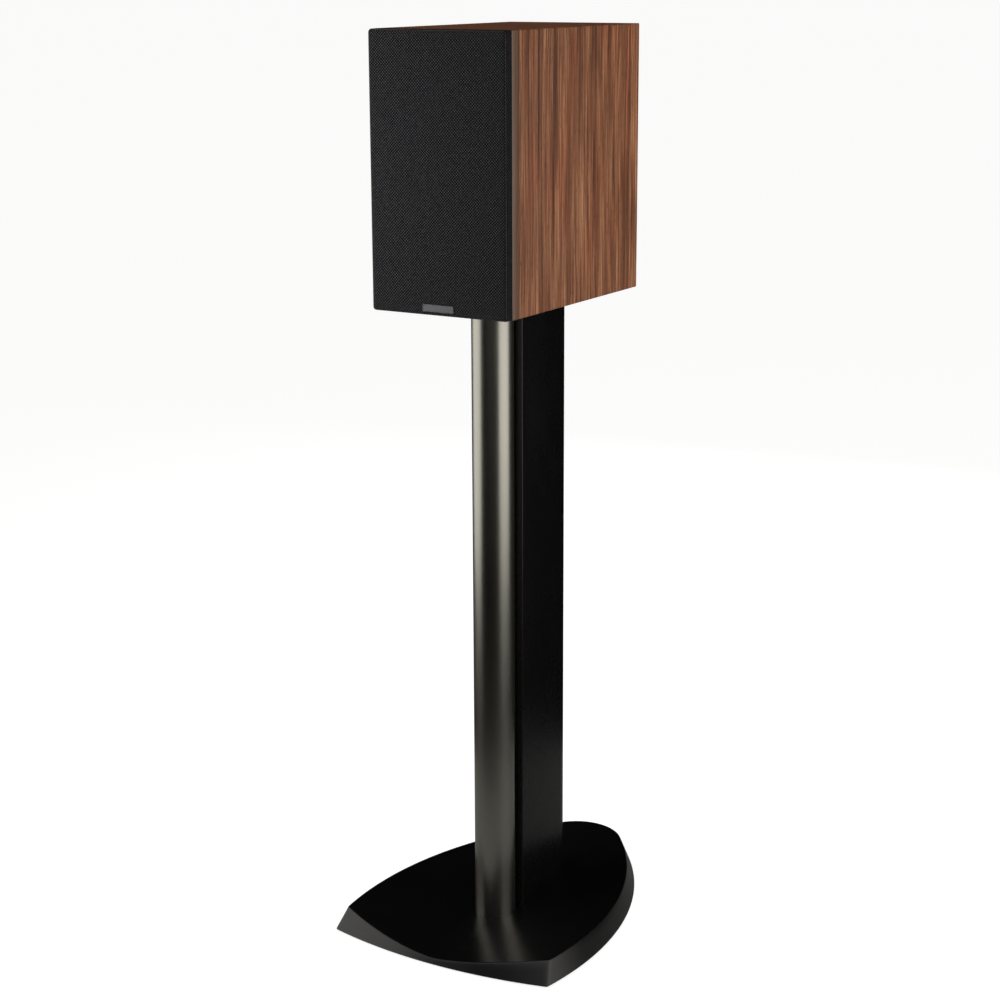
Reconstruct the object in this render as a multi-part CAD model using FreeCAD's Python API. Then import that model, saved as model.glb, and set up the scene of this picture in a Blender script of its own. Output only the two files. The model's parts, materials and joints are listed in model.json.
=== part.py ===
import FreeCAD, Part
import math
import os

# Two-way bookshelf speaker bolted to its pedestal floor stand. Millimetres, +Z up, front towards -Y.
# The origin is on the floor, under the centre of the whole object's box.

V = FreeCAD.Vector
X, Y = V(1, 0, 0), V(0, 1, 0)

# Heights above the floor
foot_gap = 2.0
speaker_bottom = 750.0

# Cabinet
cab_w, cab_d, cab_h = 172.0, 284.0, 302.0
cab_front = -160.0
panel_t = 15.0
cab_back = cab_front + cab_d
cab_top = speaker_bottom + cab_h
inner_x = cab_w / 2 - panel_t
inner_z0, inner_z1 = speaker_bottom + panel_t, cab_top - panel_t
inner_y0, inner_y1 = cab_front + panel_t, cab_back - panel_t
brace_y, brace_t, brace_window_w, brace_rim = -52.0, 12.0, 90.0, 30.0
wadding_t, wadding_y0, wadding_y1, wadding_z0, wadding_z1 = 24.0, -30.0, 96.0, 800.0, 1010.0

# Grille
grille_t = 12.0
grille_gap = 0.5
cloth_t = 0.8
grille_corner, grille_rim, grille_rim_z = 4.0, 15.0, 16.0
peg_r, peg_x, peg_in, peg_deep, peg_out = 3.0, 74.0, 14.0, 6.0, 9.0
socket_out_r, socket_len = 4.95, 10.5
plate_w, plate_h, plate_proud, plate_up = 39.0, 8.0, 0.9, 4.0

# Drivers, on the baffle's centre line
woofer_z = speaker_bottom + 95.0
tweeter_z = speaker_bottom + 228.0
rebate = 4.0
woofer_r, woofer_hole_r, woofer_screw_r = 75.0, 64.0, 70.0
tweeter_r, tweeter_hole_r, tweeter_screw_r = 48.0, 37.0, 42.0
flange_gap = 0.3

# Wood screws for the drivers and the terminal cup
screw_head_r, screw_head_t, screw_r, screw_len, screw_hole_r, pilot_r, pilot_len = (
    3.4, 1.6, 1.7, 12.5, 2.1, 1.75, 13.0)

# Rear connections
port_z, port_r, port_wall, port_len, port_flare = speaker_bottom + 222.0, 22.0, 2.0, 110.0, 33.0
cup_z, cup_half_w, cup_half_h, cup_depth = speaker_bottom + 85.0, 40.0, 27.0, 20.0
post_x, post_r, socket_r, socket_depth = 9.5, 3.2, 2.0, 14.0
knob_r, knob_len, flutes, flute_r = 8.2, 12.8, 12, 1.1
washer_r, washer_t = 7.4, 1.8

# Stand
tube_y, tube_r, tube_wall = -60.0, 24.0, 2.5
column_half_w, column_front, column_rear, column_wall = 23.5, -34.5, 81.0, 3.0
column_mid = column_rear - column_half_w
seat_z = 8.0
plate_t, pad_t = 6.0, 3.0
plate_top = speaker_bottom - pad_t
plate_bottom = plate_top - plate_t
plate_half_w, plate_y0, plate_y1 = 58.0, -115.0, 95.0
bolt_spots = [(x, y) for x in (-42.0, 42.0) for y in (-92.0, 72.0)]
bolt_r, bolt_head_r, bolt_head_t, bolt_in = 2.5, 4.6, 3.2, 11.0
rod_r, rod_bottom, rod_top_nut = 4.0, 2.6, 3.4
rod_nut_r, rod_nut_t, rod_bore_r = 7.4, 2.0, 9.0
slot_r, slot_rise, slot_heights = 9.0, 14.0, (60.0, 690.0)
seat_gap = 0.1
rod_spots = [(0.0, tube_y), (-13.0, 10.0), (13.0, 10.0)]

# Foot of the stand: two side arcs, a rounded rear, a bowed front
side_r, side_x, side_y = 450.0, 296.0, -102.0
rear_y = 139.0
rear_r = side_r - math.hypot(side_x, rear_y - side_y)
corner_y, front_y = -188.0, -207.0
wall_h, wall_inset, front_inset = 32.0, 13.0, 22.0
rim_h, rim_inset = 26.5, 10.5
dish_front, dish_slope, dish_w, dish_power = 8.0, 0.02, 130.0, 1.45
level_spots = {
    "front_left": (-114.0, -168.0),
    "front_right": (114.0, -168.0),
    "rear_left": (-58.0, 138.0),
    "rear_right": (58.0, 138.0),
}
level_r, level_t, level_top, level_recess, stud_r, stud_hole = 11.0, 5.0, 14.0, 6.2, 4.0, 15.0
above_foot = 60.0

# Radial clearance of the running fits
clearance = 0.05


def box(x0, x1, y0, y1, z0, z1):
    return Part.makeBox(x1 - x0, y1 - y0, z1 - z0, V(x0, y0, z0))


def rod(r, start, end):
    return Part.makeCylinder(r, (end - start).Length, start, end - start)


def sleeve(r_in, r_out, start, end):
    return rod(r_out, start, end).cut(rod(r_in, start, end))


def group(shapes):
    return Part.makeCompound(shapes)


def outline(place, start, *steps):
    """A closed wire. A step is the next point, or (point on the arc, end of the arc)."""
    edges, here = [], start
    for step in steps:
        if isinstance(step[0], tuple):
            edges.append(Part.Arc(place(*here), place(*step[0]), place(*step[1])).toShape())
            here = step[1]
        else:
            edges.append(Part.makeLine(place(*here), place(*step)))
            here = step
    if here != start:
        edges.append(Part.makeLine(place(*here), place(*start)))
    return Part.Wire(edges)


def turned(z, start, *steps):
    """A round part on a driver's axis, from (depth behind the baffle's face, radius) points."""
    wire = outline(lambda depth, r: V(r, cab_front + depth, z), start, *steps)
    return Part.Face(wire).revolve(V(0, 0, z), Y, 360)


def domed(z, apex, rise, r, t):
    """A shallow spherical cap that bulges forward: apex is its depth behind the baffle's face."""
    sphere_r = (r * r + rise * rise) / (2 * rise)
    centre = V(0, cab_front + apex + sphere_r, z)
    shell = Part.makeSphere(sphere_r, centre).cut(Part.makeSphere(sphere_r - t, centre))
    return shell.common(rod(r, V(0, cab_front + apex - 1, z), V(0, cab_front + apex + rise, z)))


def turned_rear(z, start, *steps):
    """A round part on a rear axis, from (distance behind the cabinet's back, radius) points."""
    wire = outline(lambda out, r: V(r, cab_back + out, z), start, *steps)
    return Part.Face(wire).revolve(V(0, 0, z), Y, 360)


def ring_of(count, radius, z, make, first=45.0):
    spots = []
    for i in range(count):
        a = math.radians(first + 360.0 * i / count)
        spots.append(make(radius * math.cos(a), z + radius * math.sin(a)))
    return spots


def wood_screw(x, y_head, z, length):
    """A pan-head screw whose head stands on y_head and whose shank runs back along +Y."""
    head = rod(screw_head_r, V(x, y_head - screw_head_t, z), V(x, y_head, z))
    return head.fuse(rod(screw_r, V(x, y_head, z), V(x, y_head + length, z)))


def driver_screw(x, z):
    return wood_screw(x, cab_front, z, screw_len)


def flange_hole(x, z):
    return rod(screw_hole_r, V(x, cab_front, z), V(x, cab_front + rebate, z))


def cabinet():
    half_w, z0, z1 = cab_w / 2, speaker_bottom, cab_top

    def board(points):
        """One board of the sleeve, mitred at 45 degrees where it meets the next."""
        wire = Part.makePolygon([V(x, inner_y0, z) for x, z in points + points[:1]])
        return Part.Face(wire).extrude(V(0, cab_back - inner_y0, 0))

    left = board([(-half_w, z0), (-inner_x, inner_z0), (-inner_x, inner_z1), (-half_w, z1)])
    right = left.mirror(V(0, 0, 0), X)
    bottom = board([(-half_w, z0), (half_w, z0), (inner_x, inner_z0), (-inner_x, inner_z0)])
    top = board([(-half_w, z1), (half_w, z1), (inner_x, inner_z1), (-inner_x, inner_z1)])
    bottom = bottom.cut(group([
        rod(bolt_r + clearance, V(x, y, z0), V(x, y, z0 + bolt_in + 1)) for x, y in bolt_spots]))

    baffle = box(-half_w, half_w, cab_front, inner_y0, z0, z1)
    y0, y1 = cab_front, inner_y0
    for z, r, hole_r in ((woofer_z, woofer_r, woofer_hole_r), (tweeter_z, tweeter_r, tweeter_hole_r)):
        baffle = baffle.cut(rod(r + flange_gap, V(0, y0, z), V(0, y0 + rebate, z)))
        baffle = baffle.cut(rod(hole_r, V(0, y0, z), V(0, y1, z)))
    baffle = baffle.cut(group([
        rod(socket_out_r + clearance, V(x, y0, z), V(x, y0 + socket_len + 0.5, z))
        for x, z in peg_spots()]))

    def pilot(x, z):
        return rod(pilot_r, V(x, y0, z), V(x, y0 + pilot_len, z))

    pilots = ring_of(4, woofer_screw_r, woofer_z, pilot) + ring_of(4, tweeter_screw_r, tweeter_z, pilot)
    baffle = baffle.cut(group(pilots))

    rear = box(-inner_x, inner_x, inner_y1, cab_back, inner_z0, inner_z1)
    rear = rear.cut(rod(port_r + port_wall + 0.2, V(0, inner_y1, port_z), V(0, cab_back, port_z)))
    rear = rear.cut(box(-cup_half_w - 1, cup_half_w + 1, inner_y1, cab_back,
                        cup_z - cup_half_h - 1, cup_z + cup_half_h + 1))
    rear = rear.cut(group([
        rod(pilot_r, V(x, cab_back - pilot_len, z), V(x, cab_back, z)) for x, z in cup_screw_spots()]))

    brace_back, half_window = brace_y + brace_t, brace_window_w / 2
    brace = box(-inner_x, inner_x, brace_y, brace_back, inner_z0, inner_z1)
    for low, high in ((inner_z0 + brace_rim, woofer_z + 55), (woofer_z + 85, inner_z1 - brace_rim)):
        brace = brace.cut(box(-half_window, half_window, brace_y, brace_back, low, high))
    wall = inner_x - 1
    wadding = group([
        box(x, x + wadding_t, wadding_y0, wadding_y1, wadding_z0, wadding_z1)
        for x in (-wall, wall - wadding_t)])
    return {"left_side_panel": left, "right_side_panel": right, "top_panel": top,
            "bottom_panel": bottom, "front_baffle": baffle, "rear_panel": rear,
            "window_brace": brace, "acoustic_wadding": wadding}


def peg_spots():
    return [(x, z) for x in (-peg_x, peg_x) for z in (speaker_bottom + peg_in, cab_top - peg_in)]


def cup_screw_spots():
    return [(x, z) for x in (-46.0, 46.0) for z in (cup_z - 30.0, cup_z + 30.0)]


def tray(w, h, y_front, y_back, r):
    """A plate with rounded front and side edges, centred on the cabinet's front."""
    middle = (speaker_bottom + cab_top) / 2
    plate = box(-w / 2, w / 2, y_front, y_back, middle - h / 2, middle + h / 2)
    along = [e for e in plate.Edges if abs(e.tangentAt(e.FirstParameter).dot(Y)) > 0.9]
    plate = plate.makeFillet(r, along)
    return plate


def grille():
    front, back = cab_front - grille_t, cab_front - grille_gap
    cloth = tray(cab_w, cab_h, front, front + cloth_t, grille_corner)
    frame = tray(cab_w - 2 * cloth_t, cab_h - 2 * cloth_t, front + cloth_t, back, grille_corner - cloth_t)
    window_x = cab_w / 2 - grille_rim
    frame = frame.cut(box(-window_x, window_x, front, back,
                          speaker_bottom + grille_rim_z, cab_top - grille_rim_z))
    frame = frame.cut(group([
        rod(peg_r, V(x, back - peg_deep, z), V(x, back, z)) for x, z in peg_spots()]))
    pegs = group([
        rod(peg_r, V(x, back - peg_deep, z), V(x, back + peg_out, z)) for x, z in peg_spots()])
    sockets = group([
        sleeve(peg_r + clearance, socket_out_r, V(x, cab_front, z), V(x, cab_front + socket_len, z))
        for x, z in peg_spots()])
    plate_z = speaker_bottom + plate_up
    plate = box(-plate_w / 2, plate_w / 2, front - plate_proud, front, plate_z, plate_z + plate_h)
    return {"grille_frame": frame, "grille_cloth": cloth, "grille_pegs": pegs,
            "peg_sockets": sockets, "grille_plate": plate}


def woofer():
    z = woofer_z
    basket = turned(z, (0.0, 59.0), (0.0, woofer_r), (rebate, woofer_r), (rebate, 62.5), (6.0, 62.5),
                    (42.0, 45.0), (45.0, 45.0), (45.0, 19.0), (42.0, 19.0), (42.0, 42.5), (5.0, 59.0))
    for i in range(4):
        turn = FreeCAD.Placement(V(0, 0, 0), FreeCAD.Rotation(Y, 90.0 * i), V(0, 0, z))
        window = box(-24, 24, cab_front + 12, cab_front + 36, z + 30, z + 70)
        window.Placement = turn.multiply(window.Placement)
        basket = basket.cut(window)
    basket = basket.cut(group(ring_of(4, woofer_screw_r, z, flange_hole)))
    surround = turned(z, (1.0, 46.0), ((-3.4, 52.3), (1.0, 58.6)), (1.9, 58.6), ((-2.5, 52.3), (1.9, 46.0)))
    cone = turned(z, (2.2, 47.6), ((13.0, 34.0), (24.0, 17.2)), (25.2, 17.2), ((14.2, 34.0), (3.4, 47.6)))
    cap = domed(z, 21.0, 4.6, 16.1, 1.0)
    coil = turned(z, (24.6, 16.2), (55.0, 16.2), (55.0, 17.1), (24.6, 17.1))
    spider = turned(z, (33.0, 17.3), (33.8, 17.3), (33.8, 46.0), (33.0, 46.0))
    top_plate = turned(z, (45.2, 18.2), (45.2, 40.0), (51.2, 40.0), (51.2, 18.2))
    magnet = turned(z, (51.2, 23.0), (51.2, 43.0), (68.2, 43.0), (68.2, 23.0))
    yoke = turned(z, (47.0, 6.0), (47.0, 15.4), (68.2, 15.4), (68.2, 40.0), (74.2, 40.0), (74.2, 6.0))
    screws = group(ring_of(4, woofer_screw_r, z, driver_screw))
    return {"woofer_basket": basket, "woofer_surround": surround, "woofer_cone": cone,
            "woofer_dust_cap": cap, "woofer_voice_coil": coil, "woofer_spider": spider,
            "woofer_top_plate": top_plate, "woofer_magnet": magnet, "woofer_yoke": yoke,
            "woofer_screws": screws}


def tweeter():
    z = tweeter_z
    face = turned(z, (0.0, 33.0), (0.0, tweeter_r), (rebate, tweeter_r), (rebate, 36.0), (8.0, 36.0),
                  (8.0, 16.4), (3.2, 16.4), ((2.2, 24.0), (0.0, 33.0)))
    face = face.cut(group(ring_of(4, tweeter_screw_r, z, flange_hole)))
    dome = domed(z, 0.6, 4.2, 12.6, 0.5)
    surround = turned(z, (4.6, 12.9), ((3.4, 14.5), (4.6, 16.1)), (5.0, 16.1), ((3.8, 14.5), (5.0, 12.9)))
    coil = turned(z, (5.2, 12.2), (11.5, 12.2), (11.5, 12.7), (5.2, 12.7))
    plate = turned(z, (8.2, 13.4), (8.2, 31.0), (12.2, 31.0), (12.2, 13.4))
    magnet = turned(z, (12.2, 16.0), (12.2, 31.0), (20.2, 31.0), (20.2, 16.0))
    yoke = turned(z, (9.0, 3.0), (9.0, 11.6), (20.2, 11.6), (20.2, 31.0), (24.2, 31.0), (24.2, 3.0))
    rear_cup = turned(z, (24.2, 18.0), (24.2, 26.0), (38.0, 26.0), (38.0, 0.0), (35.5, 0.0), (35.5, 18.0))
    screws = group(ring_of(4, tweeter_screw_r, z, driver_screw))
    return {"tweeter_faceplate": face, "tweeter_dome": dome, "tweeter_surround": surround,
            "tweeter_voice_coil": coil, "tweeter_front_plate": plate, "tweeter_magnet": magnet,
            "tweeter_yoke": yoke, "tweeter_rear_cup": rear_cup, "tweeter_screws": screws}


def port_and_terminals():
    length = port_len
    port = turned_rear(port_z, (-length, port_r), (-length, port_r + port_wall),
                       (0.0, port_r + port_wall), (0.0, port_flare), (2.5, port_flare),
                       ((1.5, port_r + 4.5), (-6.0, port_r)))
    y_floor = cab_back - cup_depth
    z0, z1 = cup_z - cup_half_h, cup_z + cup_half_h
    cup = box(-cup_half_w, cup_half_w, y_floor - 2, cab_back, z0, z1)
    cup = cup.fuse(box(-51, 51, cab_back, cab_back + 3, cup_z - 35, cup_z + 35))
    cup = cup.cut(box(-cup_half_w + 2, cup_half_w - 2, y_floor, cab_back + 3, z0 + 2, z1 - 2))
    holes = [rod(post_r + clearance, V(s * post_x, y_floor - 2, cup_z), V(s * post_x, y_floor, cup_z))
             for s in (-1, 1)]
    holes += [rod(screw_hole_r, V(x, cab_back, z), V(x, cab_back + 3, z)) for x, z in cup_screw_spots()]
    cup = cup.cut(group(holes))
    cup_screws = group([
        wood_screw(x, cab_back + 3, z, screw_len).mirror(V(0, cab_back + 3, 0), Y)
        for x, z in cup_screw_spots()])

    nodes = {"reflex_port": port, "terminal_cup": cup, "terminal_cup_screws": cup_screws}
    posts, nuts = [], []
    for side, name in ((-1, "black"), (1, "red")):
        x = side * post_x

        def at(y):
            return V(x, y, cup_z)

        post = rod(post_r, at(y_floor - 10), at(cab_back + 2))
        post = post.fuse(rod(5.5, at(y_floor), at(y_floor + 2)))
        posts.append(post.cut(rod(socket_r, at(cab_back + 2 - socket_depth), at(cab_back + 2))))
        nut = Part.Face(Part.makePolygon([
            V(x + 5.6 * math.cos(math.radians(a)), y_floor - 5.5, cup_z + 5.6 * math.sin(math.radians(a)))
            for a in range(0, 361, 60)])).extrude(V(0, 3.4, 0))
        nuts.append(nut.cut(rod(post_r + clearance, at(y_floor - 6), at(y_floor - 2))))
        y_washer, y_knob = y_floor + 2.1, y_floor + 4.0
        nodes[name + "_terminal_washer"] = sleeve(
            post_r + clearance, washer_r, at(y_washer), at(y_washer + washer_t))
        knob = sleeve(post_r + clearance, knob_r, at(y_knob), at(y_knob + knob_len))
        grooves = []
        for i in range(flutes):
            a = 2 * math.pi * i / flutes
            off = V(math.cos(a), 0, math.sin(a)) * (knob_r + flute_r / 2 + 0.05)
            grooves.append(rod(flute_r, at(y_knob + 2.5) + off, at(y_knob + knob_len + 0.2) + off))
        nodes[name + "_terminal_knob"] = knob.cut(group(grooves))
    nodes["terminal_posts"] = group(posts)
    nodes["terminal_nuts"] = group(nuts)
    return nodes


def crossover():
    z = inner_z0 + 6
    holes = [(x, y) for x in (-48.0, 48.0) for y in (4.0, 88.0)]
    board = box(-54, 54, -2, 94, z, z + 1.6)
    board = board.cut(group([rod(1.7, V(x, y, z), V(x, y, z + 1.6)) for x, y in holes]))
    standoffs = group([
        rod(3.5, V(x, y, inner_z0), V(x, y, z)).fuse(rod(1.6, V(x, y, z), V(x, y, z + 1.6))).fuse(
            rod(3.0, V(x, y, z + 1.6), V(x, y, z + 3.4))) for x, y in holes])
    top = z + 1.6
    coils = group([
        sleeve(8, 17, V(-28, 20, top), V(-28, 20, top + 16)),
        sleeve(7, 14, V(24, 22, top), V(24, 22, top + 14))])
    caps = group([
        rod(7.5, V(-36, 52, top + 7.5), V(-2, 52, top + 7.5)),
        rod(6.0, V(6, 48, top + 6.0), V(36, 48, top + 6.0)),
        rod(6.0, V(-36, 74, top + 6.0), V(-8, 74, top + 6.0))])
    resistors = group([box(4, 30, y, y + 8, top, top + 8) for y in (62, 78)])
    return {"crossover_board": board, "crossover_standoffs": standoffs, "crossover_coils": coils,
            "crossover_capacitors": caps, "crossover_resistors": resistors}


def foot_outline(z, inset, front_in):
    """The foot's plan at one height: bowed front, side arcs, rounded rear."""
    r_side, r_rear = side_r - inset, rear_r - inset
    y_corner = corner_y + front_in
    x_corner = -side_x + math.sqrt(r_side ** 2 - (y_corner - side_y) ** 2)
    reach = math.hypot(side_x, rear_y - side_y)
    join = (-side_x + r_side * side_x / reach, side_y + r_side * (rear_y - side_y) / reach)
    widest = (r_side - side_x, side_y)
    right, left = (x_corner, y_corner), (-x_corner, y_corner)
    return outline(lambda x, y: V(x, y, z), left, ((0.0, front_y + front_in), right), (widest, join),
                   ((0.0, rear_y + r_rear), (-join[0], join[1])), ((-widest[0], widest[1]), left))


def dish_height(x, y):
    """Height of the dished top: low along the middle and the front, rising to the side and rear rims."""
    floor = dish_front + dish_slope * (y - front_y)
    to_sides = [side_r - rim_inset - math.hypot(sx + side_x, y - side_y) for sx in (x, -x)]
    to_rear = rear_y + rear_r - rim_inset - y
    rise = sum(max(0.0, 1 - away / dish_w) ** (3 * dish_power) for away in to_sides + [to_rear])
    return floor + (rim_h - floor) * rise ** (1 / 3)


def foot():
    wall = Part.makeLoft([
        foot_outline(foot_gap, 0, 0),
        foot_outline(foot_gap + wall_h, wall_inset, front_inset)], True, True)
    columns, rows = 18, 22
    half_x, y0, y1 = 170.0, -225.0, 225.0
    grid = []
    for i in range(columns + 1):
        x = -half_x + 2 * half_x * i / columns
        grid.append([V(x, y0 + (y1 - y0) * j / rows, dish_height(x, y0 + (y1 - y0) * j / rows))
                     for j in range(rows + 1)])
    top = Part.BSplineSurface()
    top.interpolate(grid)
    base = wall.common(top.toShape().extrude(V(0, 0, -90)))

    base = base.cut(rod(tube_r + seat_gap, V(0, tube_y, seat_z), V(0, tube_y, above_foot)))
    base = base.cut(column_section(seat_gap, seat_z, above_foot))
    for x, y in rod_spots:
        base = base.cut(rod(rod_r + 0.2, V(x, y, 0), V(x, y, above_foot)))
        base = base.cut(rod(rod_bore_r, V(x, y, 0), V(x, y, rod_bottom + rod_nut_t)))
    for x, y in level_spots.values():
        base = base.cut(rod(level_r + 1, V(x, y, 0), V(x, y, level_recess)))
        base = base.cut(rod(stud_r, V(x, y, 0), V(x, y, stud_hole)))
    return base


def column_section(grow, z0, z1):
    """The column's outer shape: flat front, straight sides, half-round back."""
    half = column_half_w + grow
    wire = outline(lambda x, y: V(x, y, z0), (-half, column_front - grow), (half, column_front - grow),
                   (half, column_mid), ((0.0, column_mid + half), (-half, column_mid)))
    return Part.Face(wire).extrude(V(0, 0, z1 - z0))


def stand():
    tube = sleeve(tube_r - tube_wall, tube_r, V(0, tube_y, seat_z), V(0, tube_y, plate_bottom))
    column = column_section(0, seat_z, plate_bottom).cut(column_section(-column_wall, seat_z, plate_bottom))
    for z in slot_heights:
        slot = box(-slot_r, slot_r, column_mid, column_rear + 5, z - slot_rise, z + slot_rise)
        for end in (z - slot_rise, z + slot_rise):
            slot = slot.fuse(rod(slot_r, V(0, column_mid, end), V(0, column_rear + 5, end)))
        column = column.cut(slot)

    plate = box(-plate_half_w, plate_half_w, plate_y0, plate_y1, plate_bottom, plate_top)
    plate = plate.makeFillet(14.0, [e for e in plate.Edges if abs(e.tangentAt(e.FirstParameter).z) > 0.9])
    for x, y in bolt_spots:
        plate = plate.cut(rod(bolt_r + 0.2, V(x, y, plate_bottom), V(x, y, plate_top)))
    for x, y in rod_spots:
        plate = plate.cut(rod(rod_r + 0.2, V(x, y, plate_bottom), V(x, y, plate_top)))
        plate = plate.cut(rod(rod_nut_r + 0.6, V(x, y, plate_top - rod_top_nut), V(x, y, plate_top)))
    pads = group([
        sleeve(4.0, 11.0, V(x, y, plate_top), V(x, y, speaker_bottom)) for x, y in bolt_spots])
    bolts = group([
        rod(bolt_head_r, V(x, y, plate_bottom - bolt_head_t), V(x, y, plate_bottom)).fuse(
            rod(bolt_r, V(x, y, plate_bottom), V(x, y, speaker_bottom + bolt_in))) for x, y in bolt_spots])

    rods = group([rod(rod_r, V(x, y, rod_bottom), V(x, y, plate_top + 1.6)) for x, y in rod_spots])
    nuts = []
    for x, y in rod_spots:
        for z0, z1 in ((rod_bottom, rod_bottom + rod_nut_t), (plate_top - rod_top_nut, plate_top + 1.0)):
            nuts.append(sleeve(rod_r + clearance, rod_nut_r, V(x, y, z0), V(x, y, z1)))

    nodes = {"front_tube": tube, "rear_column": column, "stand_top_plate": plate,
             "isolation_pads": pads, "speaker_bolts": bolts, "tie_rods": rods,
             "tie_rod_nuts": group(nuts), "stand_foot": foot()}
    for name, (x, y) in level_spots.items():
        pad = rod(level_r, V(x, y, 0), V(x, y, level_t))
        nodes["levelling_foot_" + name] = pad.fuse(
            rod(stud_r - clearance, V(x, y, level_t), V(x, y, level_top)))
    return nodes


def main():
    os.makedirs("parts", exist_ok=True)
    nodes = {}
    for build in (cabinet, grille, woofer, tweeter, port_and_terminals, crossover, stand):
        nodes.update(build())
    for name, shape in nodes.items():
        shape.exportStep("parts/%s.step" % name)
        print(name, len(shape.Solids), shape.isValid(), round(shape.Volume))
    print(len(nodes), "nodes")


main()
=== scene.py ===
import json
import math

import bmesh
import bpy
from bpy.props import FloatProperty, FloatVectorProperty, IntProperty, PointerProperty
from mathutils import Matrix, Vector, noise


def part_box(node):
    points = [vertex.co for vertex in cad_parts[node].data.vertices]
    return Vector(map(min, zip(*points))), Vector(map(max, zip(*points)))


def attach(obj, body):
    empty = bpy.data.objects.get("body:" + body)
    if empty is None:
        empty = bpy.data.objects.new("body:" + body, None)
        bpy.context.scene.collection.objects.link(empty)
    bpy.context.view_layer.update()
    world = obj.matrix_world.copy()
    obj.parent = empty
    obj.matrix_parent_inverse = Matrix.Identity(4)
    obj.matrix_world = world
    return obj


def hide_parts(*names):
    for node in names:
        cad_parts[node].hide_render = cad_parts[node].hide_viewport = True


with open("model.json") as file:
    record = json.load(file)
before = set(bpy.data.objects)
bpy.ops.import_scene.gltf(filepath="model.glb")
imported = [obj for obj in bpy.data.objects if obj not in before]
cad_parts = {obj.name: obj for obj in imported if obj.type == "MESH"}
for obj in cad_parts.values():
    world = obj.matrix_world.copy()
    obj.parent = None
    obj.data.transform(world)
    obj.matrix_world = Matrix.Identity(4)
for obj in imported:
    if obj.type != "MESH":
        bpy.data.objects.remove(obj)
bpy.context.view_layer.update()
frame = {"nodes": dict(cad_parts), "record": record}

bl_info = {
    "name": "Speaker on a Pedestal Stand",
    "version": (1, 0, 0),
    "blender": (4, 5, 0),
    "location": "3D View > Sidebar > Speaker",
    "description": "Builds the finished surfaces of a walnut speaker and its floor stand",
    "category": "Add Mesh",
}

# ---------------------------------------------------------------- the frame

MM = 0.001
BODY_OF = {
    node: body
    for body, members in frame["record"]["behaviour"]["bodies"].items()
    for node in members
}
SLOT_OF = {part["node"]: part["material_slot"] for part in frame["record"]["subparts"]}
LEVELLING_FEET = [node for node in BODY_OF if node.startswith("levelling_foot")]


def span(node):
    """The lowest and highest corner of a node, at rest."""
    lo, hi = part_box(node)
    return Vector(lo), Vector(hi)


def middle(node):
    """The middle of a node's box."""
    lo, hi = span(node)
    return (lo + hi) / 2


def solids(node):
    """The lowest and highest corner of each separate solid in a node."""
    mesh = bmesh.new()
    mesh.from_mesh(frame["nodes"][node].data)
    bmesh.ops.remove_doubles(mesh, verts=mesh.verts, dist=1e-6)
    left, found = set(mesh.verts), []
    while left:
        island, edge = set(), [left.pop()]
        while edge:
            vert = edge.pop()
            island.add(vert)
            near = [e.other_vert(vert) for e in vert.link_edges]
            fresh = [v for v in near if v in left]
            left.difference_update(fresh)
            edge += fresh
        corners = list(zip(*(v.co for v in island)))
        found.append((Vector(min(c) for c in corners), Vector(max(c) for c in corners)))
    mesh.free()
    return sorted(found, key=lambda pair: tuple(round(c, 4) for c in pair[0]))


# ---------------------------------------------------------------- colours and nodes


def linear(colour):
    """An sRGB hex colour as the linear RGBA that a shader takes."""
    parts = [int(colour[i:i + 2], 16) / 255 for i in (0, 2, 4)]
    return tuple(c / 12.92 if c <= 0.04045 else ((c + 0.055) / 1.055) ** 2.4 for c in parts) + (1.0,)


def add(tree, kind, inputs=None, **settings):
    """Adds one node. An input is a value, or an output of another node to link."""
    made = tree.nodes.new("ShaderNode" + kind)
    for name, value in settings.items():
        setattr(made, name, value)
    for key, value in (inputs or {}).items():
        if isinstance(value, bpy.types.NodeSocket):
            tree.links.new(value, made.inputs[key])
        else:
            made.inputs[key].default_value = value
    return made


def stops(ramp, *pairs):
    """Sets a colour ramp's stops from (position, hex colour) pairs and returns its colour."""
    steps = ramp.color_ramp.elements
    while len(steps) < len(pairs):
        steps.new(0.5)
    for step, (place, colour) in zip(steps, pairs):
        step.position = place
        step.color = linear(colour)
    return ramp.outputs["Color"]


def new_finish(name, colour, roughness, **sockets):
    """A material with one shader. Uniform values sit on the shader's own sockets."""
    material = bpy.data.materials.new(name)
    material.use_nodes = True
    tree = material.node_tree
    tree.nodes.clear()
    values = {"Base Color": linear(colour), "Roughness": roughness}
    values.update({key.replace("_", " "): value for key, value in sockets.items()})
    shader = add(tree, "BsdfPrincipled", values)
    add(tree, "OutputMaterial", {"Surface": shader.outputs[0]})
    return material, tree, shader


def place_on(tree, scale):
    """The point on the surface, divided by a size for each axis in millimetres."""
    spot = add(tree, "TexCoord").outputs["Object"]
    sizes = tuple(1 / (size * MM) for size in scale)
    return add(tree, "Mapping", {"Vector": spot, "Scale": sizes}).outputs[0]


def relief(tree, shader, height, depth_mm, strength=1.0):
    """Bumps the shader's surface by a pattern, so deep in millimetres."""
    bump = add(tree, "Bump", {"Height": height, "Distance": depth_mm * MM, "Strength": strength})
    tree.links.new(bump.outputs[0], shader.inputs["Normal"])


def vary(tree, shader, socket, pattern, low, high):
    """Lets a pattern from 0 to 1 move one of the shader's values between two limits."""
    spread = add(tree, "MapRange", {"Value": pattern, "To Min": low, "To Max": high})
    tree.links.new(spread.outputs[0], shader.inputs[socket])


# ---------------------------------------------------------------- finishes


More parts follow.
